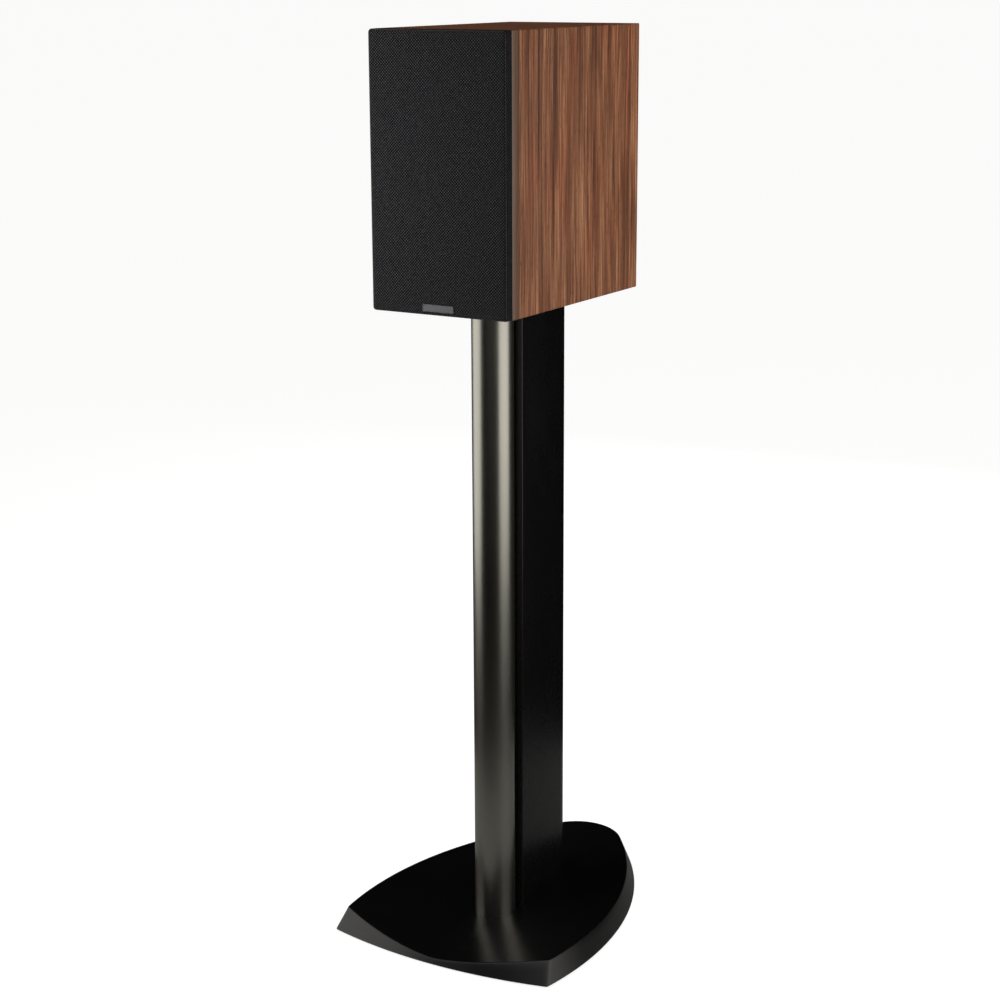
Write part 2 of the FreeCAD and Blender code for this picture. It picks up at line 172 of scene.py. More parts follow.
def walnut_veneer(name, along, shift):
    """Flat-cut walnut veneer under satin lacquer: streaks along the grain, slow waves in the
    figure, short dark pores and a faint open-pore relief."""
    material, tree, shader = new_finish(name, "704529", 0.46, Coat_Weight=0.12, Coat_Roughness=0.35)
    spot = add(tree, "SeparateXYZ", {"Vector": add(tree, "TexCoord").outputs["Object"]})
    others = [spot.outputs[axis] for axis in "XYZ" if axis != along]
    across = add(tree, "Math", {0: others[0], 1: others[1]}, operation="ADD").outputs[0]
    flat = add(tree, "CombineXYZ", {"X": across, "Y": spot.outputs[along], "Z": shift})

    def grain(width, length, detail, start):
        """Noise stretched along the grain. Sizes in millimetres."""
        scaled = add(tree, "Mapping", {
            "Vector": start, "Scale": (1 / (width * MM), 1 / (length * MM), 40.0)}).outputs[0]
        made = add(tree, "TexNoise", {"Vector": scaled, "Scale": 1.0, "Detail": detail, "Roughness": 0.6})
        return made.outputs["Fac"]

    bend = add(tree, "MapRange", {
        "Value": grain(70, 330, 1.5, flat.outputs[0]), "To Min": -9 * MM, "To Max": 9 * MM})
    ripple = add(tree, "MapRange", {
        "Value": grain(16, 70, 1.5, flat.outputs[0]), "To Min": -1.6 * MM, "To Max": 1.6 * MM})
    sideways = add(tree, "Math", {0: bend.outputs[0], 1: ripple.outputs[0]}, operation="ADD")
    offset = add(tree, "CombineXYZ", {"X": sideways.outputs[0]})
    wavy = add(tree, "VectorMath", {0: flat.outputs[0], 1: offset.outputs[0]}, operation="ADD").outputs[0]

    broad = grain(8.0, 520.0, 2.0, wavy)
    fine = grain(2.2, 190.0, 4.0, wavy)
    hair = grain(1.1, 90.0, 3.0, wavy)
    streaks = add(tree, "Mix", {"Factor": 0.68, "A": broad, "B": fine})
    streaks = add(tree, "Mix", {"Factor": 0.42, "A": streaks.outputs[0], "B": hair})
    colour = stops(
        add(tree, "ValToRGB", {"Fac": streaks.outputs[0]}),
        (0.38, "3c2112"), (0.45, "5c351e"), (0.50, "714327"), (0.545, "865536"), (0.61, "ac7c57"))

    heart = stops(
        add(tree, "ValToRGB", {"Fac": grain(7.0, 800.0, 1.0, wavy)}), (0.58, "ffffff"), (0.74, "a08674"))
    red = stops(add(tree, "ValToRGB", {"Fac": grain(30.0, 120.0, 1.0, flat.outputs[0])}),
                (0.45, "ffffff"), (0.75, "f8e0d4"))
    pores = stops(add(tree, "ValToRGB", {"Fac": grain(0.8, 11.0, 2.0, flat.outputs[0])}),
                  (0.30, "7d6052"), (0.40, "ffffff"))
    for tint in (heart, red, pores):
        colour = add(tree, "Mix", {"Factor": 1.0, 6: colour, 7: tint},
                     data_type="RGBA", blend_type="MULTIPLY").outputs[2]
    tree.links.new(colour, shader.inputs["Base Color"])
    vary(tree, shader, "Roughness", fine, 0.38, 0.56)
    relief(tree, shader, streaks.outputs[0], 0.12)
    return material


def walnut_edge():
    """Lacquered solid walnut lipping: a plain, quiet grain beside the livelier veneer."""
    material, tree, shader = new_finish("walnut_edge_lacquered", "573f2f", 0.42)
    grain = add(tree, "TexNoise", {"Vector": place_on(tree, (1.4, 1.4, 90)), "Scale": 1.0, "Detail": 3.0})
    colour = stops(add(tree, "ValToRGB", {"Fac": grain.outputs["Fac"]}), (0.3, "4c3426"), (0.7, "644b39"))
    tree.links.new(colour, shader.inputs["Base Color"])
    relief(tree, shader, grain.outputs["Fac"], 0.05)
    return material


def sprayed(name, colour, roughness, peel_mm, depth_mm, **sockets):
    """Sprayed or powder-coated film: the slow ripple of orange peel and slightly uneven gloss."""
    material, tree, shader = new_finish(name, colour, roughness, **sockets)
    peel = add(tree, "TexNoise", {
        "Vector": place_on(tree, (peel_mm,) * 3), "Scale": 1.0, "Detail": 2.0, "Roughness": 0.5})
    cloud = add(tree, "TexNoise", {"Vector": place_on(tree, (45, 45, 70)), "Scale": 1.0, "Detail": 3.0})
    vary(tree, shader, "Roughness", cloud.outputs["Fac"], roughness - 0.06, roughness + 0.06)
    relief(tree, shader, peel.outputs["Fac"], depth_mm)
    return material


def moulded(name, colour, roughness, grain_mm, depth_mm, **sockets):
    """Injection-moulded plastic: the fine spark-eroded grain of the mould."""
    material, tree, shader = new_finish(name, colour, roughness, **sockets)
    grain = add(tree, "TexVoronoi", {"Vector": place_on(tree, (grain_mm,) * 3), "Scale": 1.0})
    vary(tree, shader, "Roughness", grain.outputs["Distance"], roughness - 0.05, roughness + 0.08)
    relief(tree, shader, grain.outputs["Distance"], depth_mm)
    return material


def laminate():
    """Embossed black melamine: a leathery cell pattern pressed into the film."""
    material, tree, shader = new_finish("melamine_embossed", "1b1b1d", 0.55)
    cells = add(tree, "TexVoronoi", {"Vector": place_on(tree, (1.1, 1.1, 1.1)), "Scale": 1.0},
                feature="SMOOTH_F1")
    fleck = add(tree, "TexNoise", {"Vector": place_on(tree, (5, 5, 5)), "Scale": 1.0, "Detail": 5.0})
    colour = stops(add(tree, "ValToRGB", {"Fac": fleck.outputs["Fac"]}), (0.3, "151517"), (0.7, "242426"))
    tree.links.new(colour, shader.inputs["Base Color"])
    vary(tree, shader, "Roughness", fleck.outputs["Fac"], 0.48, 0.62)
    relief(tree, shader, cells.outputs["Distance"], 0.14)
    return material


def fibreboard():
    """Raw medium-density fibreboard: pressed wood dust with paler and darker fibres."""
    material, tree, shader = new_finish("fibreboard_raw", "9a7b58", 0.85)
    fibre = add(tree, "TexNoise", {
        "Vector": place_on(tree, (0.9, 2.4, 0.9)), "Scale": 1.0, "Detail": 5.0, "Roughness": 0.7})
    colour = stops(add(tree, "ValToRGB", {"Fac": fibre.outputs["Fac"]}), (0.25, "7c6146"), (0.75, "b79a75"))
    tree.links.new(colour, shader.inputs["Base Color"])
    relief(tree, shader, fibre.outputs["Fac"], 0.12)
    return material


def acoustic_cloth(pitch_mm):
    """Black acoustically open knit: staggered rows of loops, their crowns painted lighter in the base colour
    as a painted highlight.
    The real yarns are about 0.6 mm apart, and are drawn wider here so that the knit shows."""
    material, tree, shader = new_finish(
        "acoustic_cloth_knitted", "0f0f10", 0.8, Specular_IOR_Level=0.12)
    spot = add(tree, "TexCoord").outputs["UV"]
    pitches = add(tree, "Mapping", {
        "Vector": spot, "Scale": (1 / (pitch_mm * MM), 1 / (pitch_mm * MM), 1)}).outputs[0]
    axes = add(tree, "SeparateXYZ", {"Vector": pitches})
    waves = []
    for axis in ("X", "Y"):
        turn = add(tree, "Math", {0: axes.outputs[axis], 1: 2 * math.pi}, operation="MULTIPLY")
        waves.append(add(tree, "Math", {0: turn.outputs[0]}, operation="SINE").outputs[0])
    knit = add(tree, "Math", {0: waves[0], 1: waves[1]}, operation="MULTIPLY")
    knit = add(tree, "MapRange", {"Value": knit.outputs[0], "From Min": -1.0}).outputs[0]
    slub = add(tree, "TexNoise", {"Vector": place_on(tree, (3.5, 3.5, 3.5)), "Scale": 1.0, "Detail": 3.0})
    knit_highlight_and_slub = add(tree, "Mix", {"Factor": 0.3, "A": knit, "B": slub.outputs["Fac"]}).outputs[0]
    # Painted highlight: the base colour is lighter where the knit pattern is high, at the loop crowns, and
    # darker in the hollows between them.
    colour = stops(
        add(tree, "ValToRGB", {"Fac": knit_highlight_and_slub}), (0.30, "020202"), (0.55, "09090a"), (0.78, "2e2e30"))
    tree.links.new(colour, shader.inputs["Base Color"])
    relief(tree, shader, knit, 0.35)
    return material


def felted(name, dark, light, fibre_mm, depth_mm):
    """Loose or pressed fibre: soft clumps with fine crossing hairs."""
    material, tree, shader = new_finish(name, light, 0.95, Sheen_Weight=0.3, Sheen_Roughness=0.6)
    hairs = add(tree, "TexNoise", {
        "Vector": place_on(tree, (fibre_mm,) * 3), "Scale": 1.0, "Detail": 6.0, "Distortion": 1.5})
    colour = stops(add(tree, "ValToRGB", {"Fac": hairs.outputs["Fac"]}), (0.3, dark), (0.7, light))
    tree.links.new(colour, shader.inputs["Base Color"])
    relief(tree, shader, hairs.outputs["Fac"], depth_mm)
    return material


def rubber(name, colour):
    """Moulded rubber: soft, matt, with a dusty bloom."""
    material, tree, shader = new_finish(name, colour, 0.72, Specular_IOR_Level=0.35)
    bloom = add(tree, "TexNoise", {"Vector": place_on(tree, (6, 6, 6)), "Scale": 1.0, "Detail": 5.0})
    shade = add(tree, "ValToRGB", {"Fac": bloom.outputs["Fac"]})
    tree.links.new(stops(shade, (0.3, colour), (0.8, "2c2c2d")), shader.inputs["Base Color"])
    vary(tree, shader, "Roughness", bloom.outputs["Fac"], 0.62, 0.82)
    relief(tree, shader, bloom.outputs["Fac"], 0.05)
    return material


def blasted_metal(name, colour, roughness, grain_mm, draw, **sockets):
    """Blasted and anodised or plated metal: a silky grain, drawn out along `draw` where rolled or
    extruded, and soft cloudy differences in gloss."""
    material, tree, shader = new_finish(name, colour, roughness, Metallic=1.0, **sockets)
    size = tuple(grain_mm * stretch for stretch in draw)
    grain = add(tree, "TexNoise", {
        "Vector": place_on(tree, size), "Scale": 1.0, "Detail": 3.0, "Roughness": 0.65})
    cloud = add(tree, "TexNoise", {"Vector": place_on(tree, (60, 60, 160)), "Scale": 1.0, "Detail": 2.0})
    gloss = add(tree, "Mix", {
        "Factor": 0.4, "A": grain.outputs["Fac"], "B": cloud.outputs["Fac"]}).outputs[0]
    vary(tree, shader, "Roughness", gloss, roughness - 0.08, roughness + 0.08)
    relief(tree, shader, grain.outputs["Fac"], 0.012)
    return material


def wound_copper():
    """Enamelled copper wire wound in layers: fine ribs round the coil, glossy varnish."""
    material, tree, shader = new_finish(
        "copper_enamelled", "b8703f", 0.3, Metallic=1.0, Coat_Weight=0.5, Coat_Roughness=0.15)
    ribs = add(tree, "TexWave", {"Vector": place_on(tree, (1.2, 1.2, 1.2)), "Scale": 1.0, "Distortion": 0.3},
               bands_direction="DIAGONAL")
    colour = stops(add(tree, "ValToRGB", {"Fac": ribs.outputs["Fac"]}), (0.1, "7a4223"), (0.6, "c67e49"))
    tree.links.new(colour, shader.inputs["Base Color"])
    relief(tree, shader, ribs.outputs["Fac"], 0.2)
    return material


def speckled(name, dark, light, roughness, size_mm, **sockets):
    """Board, ceramic, ferrite and dipped film: a fine two-tone speckle."""
    material, tree, shader = new_finish(name, light, roughness, **sockets)
    speck = add(tree, "TexNoise", {
        "Vector": place_on(tree, (size_mm,) * 3), "Scale": 1.0, "Detail": 5.0, "Roughness": 0.7})
    colour = stops(add(tree, "ValToRGB", {"Fac": speck.outputs["Fac"]}), (0.3, dark), (0.7, light))
    tree.links.new(colour, shader.inputs["Base Color"])
    relief(tree, shader, speck.outputs["Fac"], 0.03)
    return material


# How far a metal's grain is drawn out along X, Y and Z.
EVEN, UPRIGHT, SIDEWAYS = (1, 1, 1), (1, 1, 60), (60, 1, 1)


def make_finishes(speaker):
    """One material for each finish that the record names."""
    return {
        "walnut_veneer": walnut_veneer("walnut_veneer_side", "Z", 0.0),
        "baffle_lacquer": sprayed("polyurethane_lacquer_matt", "222021", 0.5, 1.6, 0.05),
        "raw_fibreboard": fibreboard(),
        "black_laminate": laminate(),
        "wadding": felted("polyester_wadding_carded", "a9a69c", "e2dfd6", 1.6, 1.2),
        "grille_cloth": acoustic_cloth(speaker.knit_pitch / MM),
        "black_plastic": moulded("ABS_moulded_black", "18181a", 0.5, 0.7, 0.06),
        "plate_finish": blasted_metal("aluminium_brushed", "85858a", 0.34, 0.22, SIDEWAYS,
                                      Anisotropic=0.5),
        "basket_paint": sprayed("powder_coat_driver_frame", "1c1c1e", 0.5, 0.9, 0.06),
        "surround_rubber": rubber("butyl_rubber_moulded", "161617"),
        "cone_finish": blasted_metal("aluminium_spun_satin", "b7babf", 0.34, 0.5, EVEN),
        "dome_finish": blasted_metal("aluminium_pressed_satin", "d3d5d8", 0.26, 0.3, EVEN),
        "coil_copper": wound_copper(),
        "spider_cloth": felted("cotton_resin_dipped", "8f6420", "cf9f4c", 0.8, 0.15),
        "ferrite": speckled("ferrite_sintered", "202022", "38383b", 0.55, 0.8),
        "zinc_steel": blasted_metal("steel_zinc_plated", "a9abad", 0.3, 0.8, EVEN),
        "screw_black": sprayed("steel_black_zinc", "1f1f21", 0.36, 0.5, 0.02, Metallic=0.6),
        "gold_brass": blasted_metal("brass_gold_plated", "c9a24a", 0.2, 0.4, EVEN),
        "red_plastic": moulded("polycarbonate_moulded_red", "a3181c", 0.22, 1.2, 0.01, Coat_Weight=0.3),
        "dark_plastic": moulded("polycarbonate_moulded_black", "151516", 0.24, 1.2, 0.01, Coat_Weight=0.3),
        "circuit_board": speckled("glass_epoxy_board", "23482d", "33633f", 0.38, 0.7, Coat_Weight=0.4),
        "capacitor_film": speckled("polyester_film_dipped", "a9851f", "cfa733", 0.25, 2.5),
        "resistor_ceramic": speckled("steatite_ceramic", "bdb9ae", "dedbd2", 0.7, 0.5),
        "tube_anodised": blasted_metal("aluminium_anodised_pewter", speaker_hex(speaker.tube_colour), 0.3,
                                       0.35, UPRIGHT, Anisotropic=0.25),
        "column_powder": sprayed("powder_coat_satin_black", "070708", 0.27, 1.3, 0.03,
                                 Specular_IOR_Level=0.35),
        "foot_black": sprayed("acrylic_lacquer_satin_black", "040405", 0.30, 2.2, 0.03,
                              Specular_IOR_Level=0.36),
        "pad_rubber": rubber("neoprene_moulded", "18181a"),
    }


def speaker_hex(colour):
    """A colour picked in the sidebar, as sRGB hex."""
    return "".join("%02x" % round(255 * c) for c in colour)


FINISHES = {}


# ---------------------------------------------------------------- shapes


def settle(piece):
    """Writes the piece's modifiers into its mesh."""
    bpy.context.view_layer.update()
    graph = bpy.context.evaluated_depsgraph_get()
    mesh = bpy.data.meshes.new_from_object(piece.evaluated_get(graph))
    piece.modifiers.clear()
    piece.data = mesh


def shade(piece, sharp_angle=32.0):
    """Smooth shading, with creases where faces meet at more than the angle."""
    piece.data.shade_smooth()
    piece.data.set_sharp_from_angle(angle=math.radians(sharp_angle))


def as_piece(name, points, faces, *finishes, sharp_angle=32.0):
    mesh = bpy.data.meshes.new(name)
    mesh.from_pydata([tuple(p) for p in points], [], faces)
    work = bmesh.new()
    work.from_mesh(mesh)
    bmesh.ops.recalc_face_normals(work, faces=work.faces)
    work.to_mesh(mesh)
    work.free()
    piece = bpy.data.objects.new(name, mesh)
    bpy.context.collection.objects.link(piece)
    for finish in finishes:
        mesh.materials.append(finish)
    shade(piece, sharp_angle)
    return piece


def loft(rings, joined=False):
    """Skins a list of rings, each the same number of points or a single point. The two ends are
    closed, or joined to each other."""
    points, starts = [], []
    for ring in rings:
        starts.append(len(points))
        points += ring
    faces = []
    pairs = list(zip(range(len(rings)), range(1, len(rings))))
    if joined:
        pairs.append((len(rings) - 1, 0))
    for a, b in pairs:
        na, nb = len(rings[a]), len(rings[b])
        for i in range(max(na, nb)):
            j = (i + 1) % max(na, nb)
            quad = [starts[a] + i % na, starts[a] + j % na, starts[b] + j % nb, starts[b] + i % nb]
            faces.append(list(dict.fromkeys(quad)))
    if not joined:
        for k in (0, len(rings) - 1):
            if len(rings[k]) > 2:
                faces.append([starts[k] + i for i in range(len(rings[k]))])
    return points, faces


def softened(corners, radius, joined=True, steps=3):
    """Rounds each corner of a 2-D outline by up to the radius."""
    made, count = [], len(corners)
    for i, here in enumerate(corners):
        here = Vector(here)
        if not joined and i in (0, count - 1):
            made.append(here)
            continue
        before, after = Vector(corners[i - 1]), Vector(corners[(i + 1) % count])
        start = here + (before - here).normalized() * min(radius, (before - here).length * 0.45)
        end = here + (after - here).normalized() * min(radius, (after - here).length * 0.45)
        for k in range(steps + 1):
            t = k / steps
            made.append(start * (1 - t) ** 2 + here * 2 * t * (1 - t) + end * t ** 2)
    return made


def ring_points(centre, radius, axis, steps):
    """A circle of points round an axis, which is X, Y or Z."""
    made = []
    for i in range(steps):
        a = 2 * math.pi * i / steps
        u, v = radius * math.cos(a), radius * math.sin(a)
        made.append(centre + Vector({"X": (0, u, v), "Y": (u, 0, v), "Z": (u, v, 0)}[axis]))
    return made


def lathe(origin, axis, profile, steps=72):
    """Points and faces of a turned shape from (along, radius) pairs. A profile that starts and ends
    on the axis is solid, and any other is a ring."""
    along = {"X": Vector((1, 0, 0)), "Y": Vector((0, 1, 0)), "Z": Vector((0, 0, 1))}[axis]
    rings = []
    for place, radius in profile:
        centre = origin + along * place
        rings.append([centre] if radius <= 0 else ring_points(centre, radius, axis, steps))
    return loft(rings, joined=profile[0][1] > 0)


def rod_shape(start, axis, length, radius, steps):
    """A plain rod from a point along an axis."""
    return lathe(start, axis, [(0, 0), (0, radius), (length, radius), (length, 0)], steps)


def merged(*shapes):
    """Several (points, faces) shapes as one."""
    points, faces = [], []
    for more_points, more_faces in shapes:
        faces += [[len(points) + i for i in face] for face in more_faces]
        points += more_points
    return points, faces


def shrunk(outline, inset):
    """A 2-D outline that runs anticlockwise, moved inwards."""
    made, count = [], len(outline)
    for i, here in enumerate(outline):
        before, after = outline[i - 1], outline[(i + 1) % count]
        way = (here - before).normalized() + (after - here).normalized()
        made.append(here + Vector((-way.y, way.x)).normalized() * inset)
    return made


def prism(outline, low, high, place, edge=0.0):
    """An outline pushed along from low to high, its two end edges softened. place turns
    (u, v, along) into a point."""
    rings = []
    steps = ((low, edge), (low + 0.3 * edge, 0.3 * edge), (low + edge, 0.0), (high - edge, 0.0),
             (high - 0.3 * edge, 0.3 * edge), (high, edge))
    for along, inset in steps if edge else ((low, 0.0), (high, 0.0)):
        ring = shrunk(outline, inset) if inset else outline
        rings.append([place(p.x, p.y, along) for p in ring])
    return loft(rings)


def rectangle(u0, u1, v0, v1, radius, steps=6):
    corners = [(u0, v0), (u1, v0), (u1, v1), (u0, v1)]
    return softened(corners, radius, steps=steps) if radius else [Vector(c) for c in corners]


def facing_front(u, v, along):
    return Vector((u, along, v))


def facing_up(u, v, along):
    return Vector((u, v, along))


def cut(piece, shape):
    """Takes the shape away from the piece."""
    tool = as_piece("cutter", *shape)
    change = piece.modifiers.new("cut", "BOOLEAN")
    change.operation = "DIFFERENCE"
    change.solver = "EXACT"
    change.object = tool
    settle(piece)
    bpy.data.objects.remove(tool)
    shade(piece)


def stand_for(piece, *nodes):
    """The piece rides where the CAD nodes ride and takes their place."""
    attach(piece, BODY_OF[nodes[0]])
    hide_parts(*nodes)
    return piece


# ---------------------------------------------------------------- settings


class SpeakerSettings(bpy.types.PropertyGroup):
    """Sizes and colours of the speaker."""
    edge_radius: FloatProperty(
        name="Edge radius", description="Rounding of the cabinet's long edges",
        default=0.0012, min=0.0002, max=0.006, subtype="DISTANCE", unit="LENGTH")
    cloth_radius: FloatProperty(
        name="Grille edge", description="Rounding of the cloth over the grille frame",
        default=0.0034, min=0.001, max=0.006, subtype="DISTANCE", unit="LENGTH")
    cloth_thickness: FloatProperty(
        name="Cloth thickness", description="Thickness of the grille cloth",
        default=0.0006, min=0.0002, max=0.0008, subtype="DISTANCE", unit="LENGTH")
    knit_pitch: FloatProperty(
        name="Knit pitch", description="Distance between the cloth's drawn yarns",
        default=0.0034, min=0.0005, max=0.006, subtype="DISTANCE", unit="LENGTH")
    tube_colour: FloatVectorProperty(
        name="Tube colour", description="Anodised colour of the front tube, as sRGB",
        default=(0.57, 0.56, 0.535), size=3, min=0.0, max=1.0, subtype="COLOR_GAMMA")


class StandSettings(bpy.types.PropertyGroup):
    """Sizes of the stand."""
    tube_steps: IntProperty(
        name="Tube facets", description="Facets round the tube", default=128, min=32, max=256)
    column_edge: FloatProperty(
        name="Column edge", description="Rounding of the column's front corners",
        default=0.0016, min=0.0003, max=0.004, subtype="DISTANCE", unit="LENGTH")
    rim_edge: FloatProperty(
        name="Foot rim", description="Rounding of the foot's rim",
        default=0.0014, min=0.0004, max=0.004, subtype="DISTANCE", unit="LENGTH")


# ---------------------------------------------------------------- cabinet


def board_outline(half, thick, radius):
    """Half-mitred board: its outer face is v = 0, and each outer corner holds half of a round."""
    outline = [Vector((-(half - thick), -thick)), Vector((half - thick, -thick))]
    for side in (1, -1):
        angles = (45, 60, 75, 90) if side > 0 else (90, 75, 60, 45)
        for angle in angles:
            a = math.radians(angle)
            outline.append(Vector((
                side * (half - radius + radius * math.cos(a)), -radius + radius * math.sin(a))))
    return outline


# Hole sizes in the cabinet, each with the play that its screw, bolt or driver needs.
CABINET_BOLT_R, CABINET_BOLT_DEEP = 2.55 * MM, 12 * MM
DRIVER_PLAY, DRIVER_REBATE = 0.3 * MM, 4 * MM
DRIVER_HOLE_R = {"woofer_basket": 64 * MM, "tweeter_faceplate": 37 * MM}
SOCKET_HOLE_R, SOCKET_HOLE_DEEP = 5 * MM, 12 * MM
PILOT_R, PILOT_DEEP = 1.75 * MM, 14 * MM


class SPEAKER_OT_cabinet(bpy.types.Operator):
    """Builds the veneered boards, the baffle and the wadding"""
    bl_idname = "speaker.cabinet"
    bl_label = "Cabinet"

    def execute(self, context):
        settings = context.scene.speaker_settings
        lo, hi = span("left_side_panel")
        thick = hi.x - lo.x
        centre_z, half_z, half_x = (lo.z + hi.z) / 2, (hi.z - lo.z) / 2, -lo.x
        radius = settings.edge_radius
        places = {
            "left_side_panel": (half_z, lambda u, v, y: Vector((-half_x - v, y, centre_z + u))),
            "right_side_panel": (half_z, lambda u, v, y: Vector((half_x + v, y, centre_z + u))),
            "top_panel": (half_x, lambda u, v, y: Vector((u, y, hi.z + v))),
            "bottom_panel": (half_x, lambda u, v, y: Vector((u, y, lo.z - v))),
        }
        for order, (node, (half, place)) in enumerate(places.items()):
            upright = "side" in node
            finish = walnut_veneer("walnut_veneer_" + node, "Z" if upright else "X", 0.37 * order)
            shape = prism(board_outline(half, thick, radius), lo.y, hi.y, place)
            board = as_piece(node.replace("panel", "board"), *shape, finish, sharp_angle=25)
            if node == "bottom_panel":
                bolts = [
                    rod_shape(Vector(((a.x + b.x) / 2, (a.y + b.y) / 2, lo.z - thick)), "Z",
                              thick + CABINET_BOLT_DEEP, CABINET_BOLT_R, 24)
                    for a, b in solids("speaker_bolts")]
                cut(board, merged(*bolts))
            stand_for(board, node)
        self.baffle(radius)
        self.wadding()
        return {"FINISHED"}

    def baffle(self, radius):
        """The front board: matt lacquer with walnut lipping round its edges."""
        lo, hi = span("front_baffle")
        outline = rectangle(lo.x, hi.x, lo.z, hi.z, radius, steps=4)
        shape = prism(outline, lo.y, hi.y, facing_front, edge=0.7 * MM)
        board = as_piece("baffle_board", *shape, FINISHES["baffle_lacquer"], walnut_edge())
        reach = hi.y - lo.y + 2 * MM
        for flange, hole_r in DRIVER_HOLE_R.items():
            a, b = span(flange)
            middle_z, rebate_r = (a.z + b.z) / 2, (b.x - a.x) / 2 + DRIVER_PLAY
            start = Vector((0, lo.y - 1 * MM, middle_z))
            rebate = 1 * MM + DRIVER_REBATE
            cut(board, lathe(start, "Y", [
                (0, 0), (0, rebate_r), (rebate, rebate_r), (rebate, hole_r),
                (reach, hole_r), (reach, 0)], 128))
        holes = []
        for a, b in solids("peg_sockets"):
            start = Vector(((a.x + b.x) / 2, lo.y - 1 * MM, (a.z + b.z) / 2))
            holes.append(rod_shape(start, "Y", SOCKET_HOLE_DEEP, SOCKET_HOLE_R, 32))
        for node in ("woofer_screws", "tweeter_screws"):
            for a, b in solids(node):
                start = Vector(((a.x + b.x) / 2, lo.y - 1 * MM, (a.z + b.z) / 2))
                holes.append(rod_shape(start, "Y", PILOT_DEEP, PILOT_R, 16))
        cut(board, merged(*holes))
        for face in board.data.polygons:
            outside = abs(face.center.x) > hi.x - 1.1 * radius or not (
                lo.z + 1.1 * radius < face.center.z < hi.z - 1.1 * radius)
            face.material_index = 1 if outside and abs(face.normal.y) < 0.9 else 0
        stand_for(board, "front_baffle")

    def wadding(self):
        """Two pads of loose fibre, puffed between soft edges."""
        shapes = []
        for a, b in solids("acoustic_wadding"):
            rings, size, centre = [], b - a, (a + b) / 2
            tall, round_count = 26, 28
            for i in range(tall + 1):
                t = i / tall
                swell = max(0.02, math.sin(math.pi * t)) ** 0.22
                ring = []
                for k in range(round_count):
                    angle = 2 * math.pi * k / round_count
                    c, s = math.cos(angle), math.sin(angle)
                    u, v = math.copysign(abs(c) ** 0.45, c), math.copysign(abs(s) ** 0.45, s)
                    spot = Vector((u * size.x / 2, v * size.y / 2, (t - 0.5) * size.z))
                    clump = 1 - 0.10 * abs(noise.noise(spot * 42 + centre * 9))
                    ring.append(centre + Vector((
                        spot.x * swell * clump, spot.y * swell * clump, spot.z * 0.97)))
                rings.append(ring)
            shapes.append(loft(rings))
        pads = as_piece("wadding_pads", *merged(*shapes), FINISHES["wadding"], sharp_angle=80)
        stand_for(pads, "acoustic_wadding")


# ---------------------------------------------------------------- grille


class SPEAKER_OT_grille(bpy.types.Operator):
    """Stretches the cloth over the grille frame and adds the blank plate"""
    bl_idname = "speaker.grille"
    bl_label = "Grille"

    def execute(self, context):
        settings = context.scene.speaker_settings
        lo, hi = span("grille_cloth")
        back = span("grille_frame")[1].y
        radius, corner = settings.cloth_radius, 4 * MM
        hem, hem_gap = 9 * MM, 0.3 * MM
        centre = Vector((0, 0, (lo.z + hi.z) / 2))
        half_x, half_z = hi.x, (hi.z - lo.z) / 2
        wrap = [(inset, 0.0) for inset in (70 * MM, 40 * MM, 16 * MM, 8 * MM)]
        for k in range(7):
            a = math.radians(90 * k / 6)
            wrap.append((radius - radius * math.sin(a), radius - radius * math.cos(a)))
        deep = back - lo.y + hem_gap
        wrap += [(0.0, deep * 0.6), (0.0, deep - 0.6 * MM), (0.3 * MM, deep), (hem, deep)]
        lengths = [0.0]
        for a, b in zip(wrap, wrap[1:]):
            lengths.append(lengths[-1] + math.dist(a, b))
        rings, flats = [], []
        for (inset, depth), run in zip(wrap, lengths):
            r = max(corner - inset, 0.2 * MM)
            outline = rectangle(-half_x + inset, half_x - inset, -half_z + inset, half_z - inset, r, 6)
            rings.append([centre + Vector((p.x, lo.y + depth, p.y)) for p in outline])
            spare = wrap[0][0] - run
            flat = rectangle(-half_x + spare, half_x - spare, -half_z + spare, half_z - spare,
                             max(corner - spare, 0.2 * MM), 6)
            flats += [(p.x, p.y) for p in flat]
        points, faces = loft(rings)
        faces = faces[:-1]
        cloth = as_piece("stretched_cloth", points, faces, FINISHES["grille_cloth"], sharp_angle=60)
        layer = cloth.data.uv_layers.new(name="flat_cloth")
        for loop in cloth.data.loops:
            layer.data[loop.index].uv = flats[loop.vertex_index]
        thick = cloth.modifiers.new("thickness", "SOLIDIFY")
        thick.thickness = settings.cloth_thickness
        thick.offset = -1
        settle(cloth)
        shade(cloth, 60)
        stand_for(cloth, "grille_cloth")
        self.plate()
        return {"FINISHED"}

    def plate(self):
        """A small blank plate with a raised border."""
        lo, hi = span("grille_plate")
        outline = rectangle(lo.x, hi.x, lo.z, hi.z, 1.2 * MM, 5)
        field = 0.35 * MM
        rings = []
        steps = ((0.0, hi.y), (0.0, lo.y + 0.2 * MM), (0.07 * MM, lo.y + 0.07 * MM), (0.22 * MM, lo.y),
                 (0.75 * MM, lo.y), (0.85 * MM, lo.y + field))
        for inset, y in steps:
            ring = shrunk(outline, inset) if inset else outline
            rings.append([facing_front(p.x, p.y, y) for p in ring])
        plate = as_piece("blank_plate", *loft(rings), FINISHES["plate_finish"], sharp_angle=25)
        stand_for(plate, "grille_plate")


# ---------------------------------------------------------------- drivers


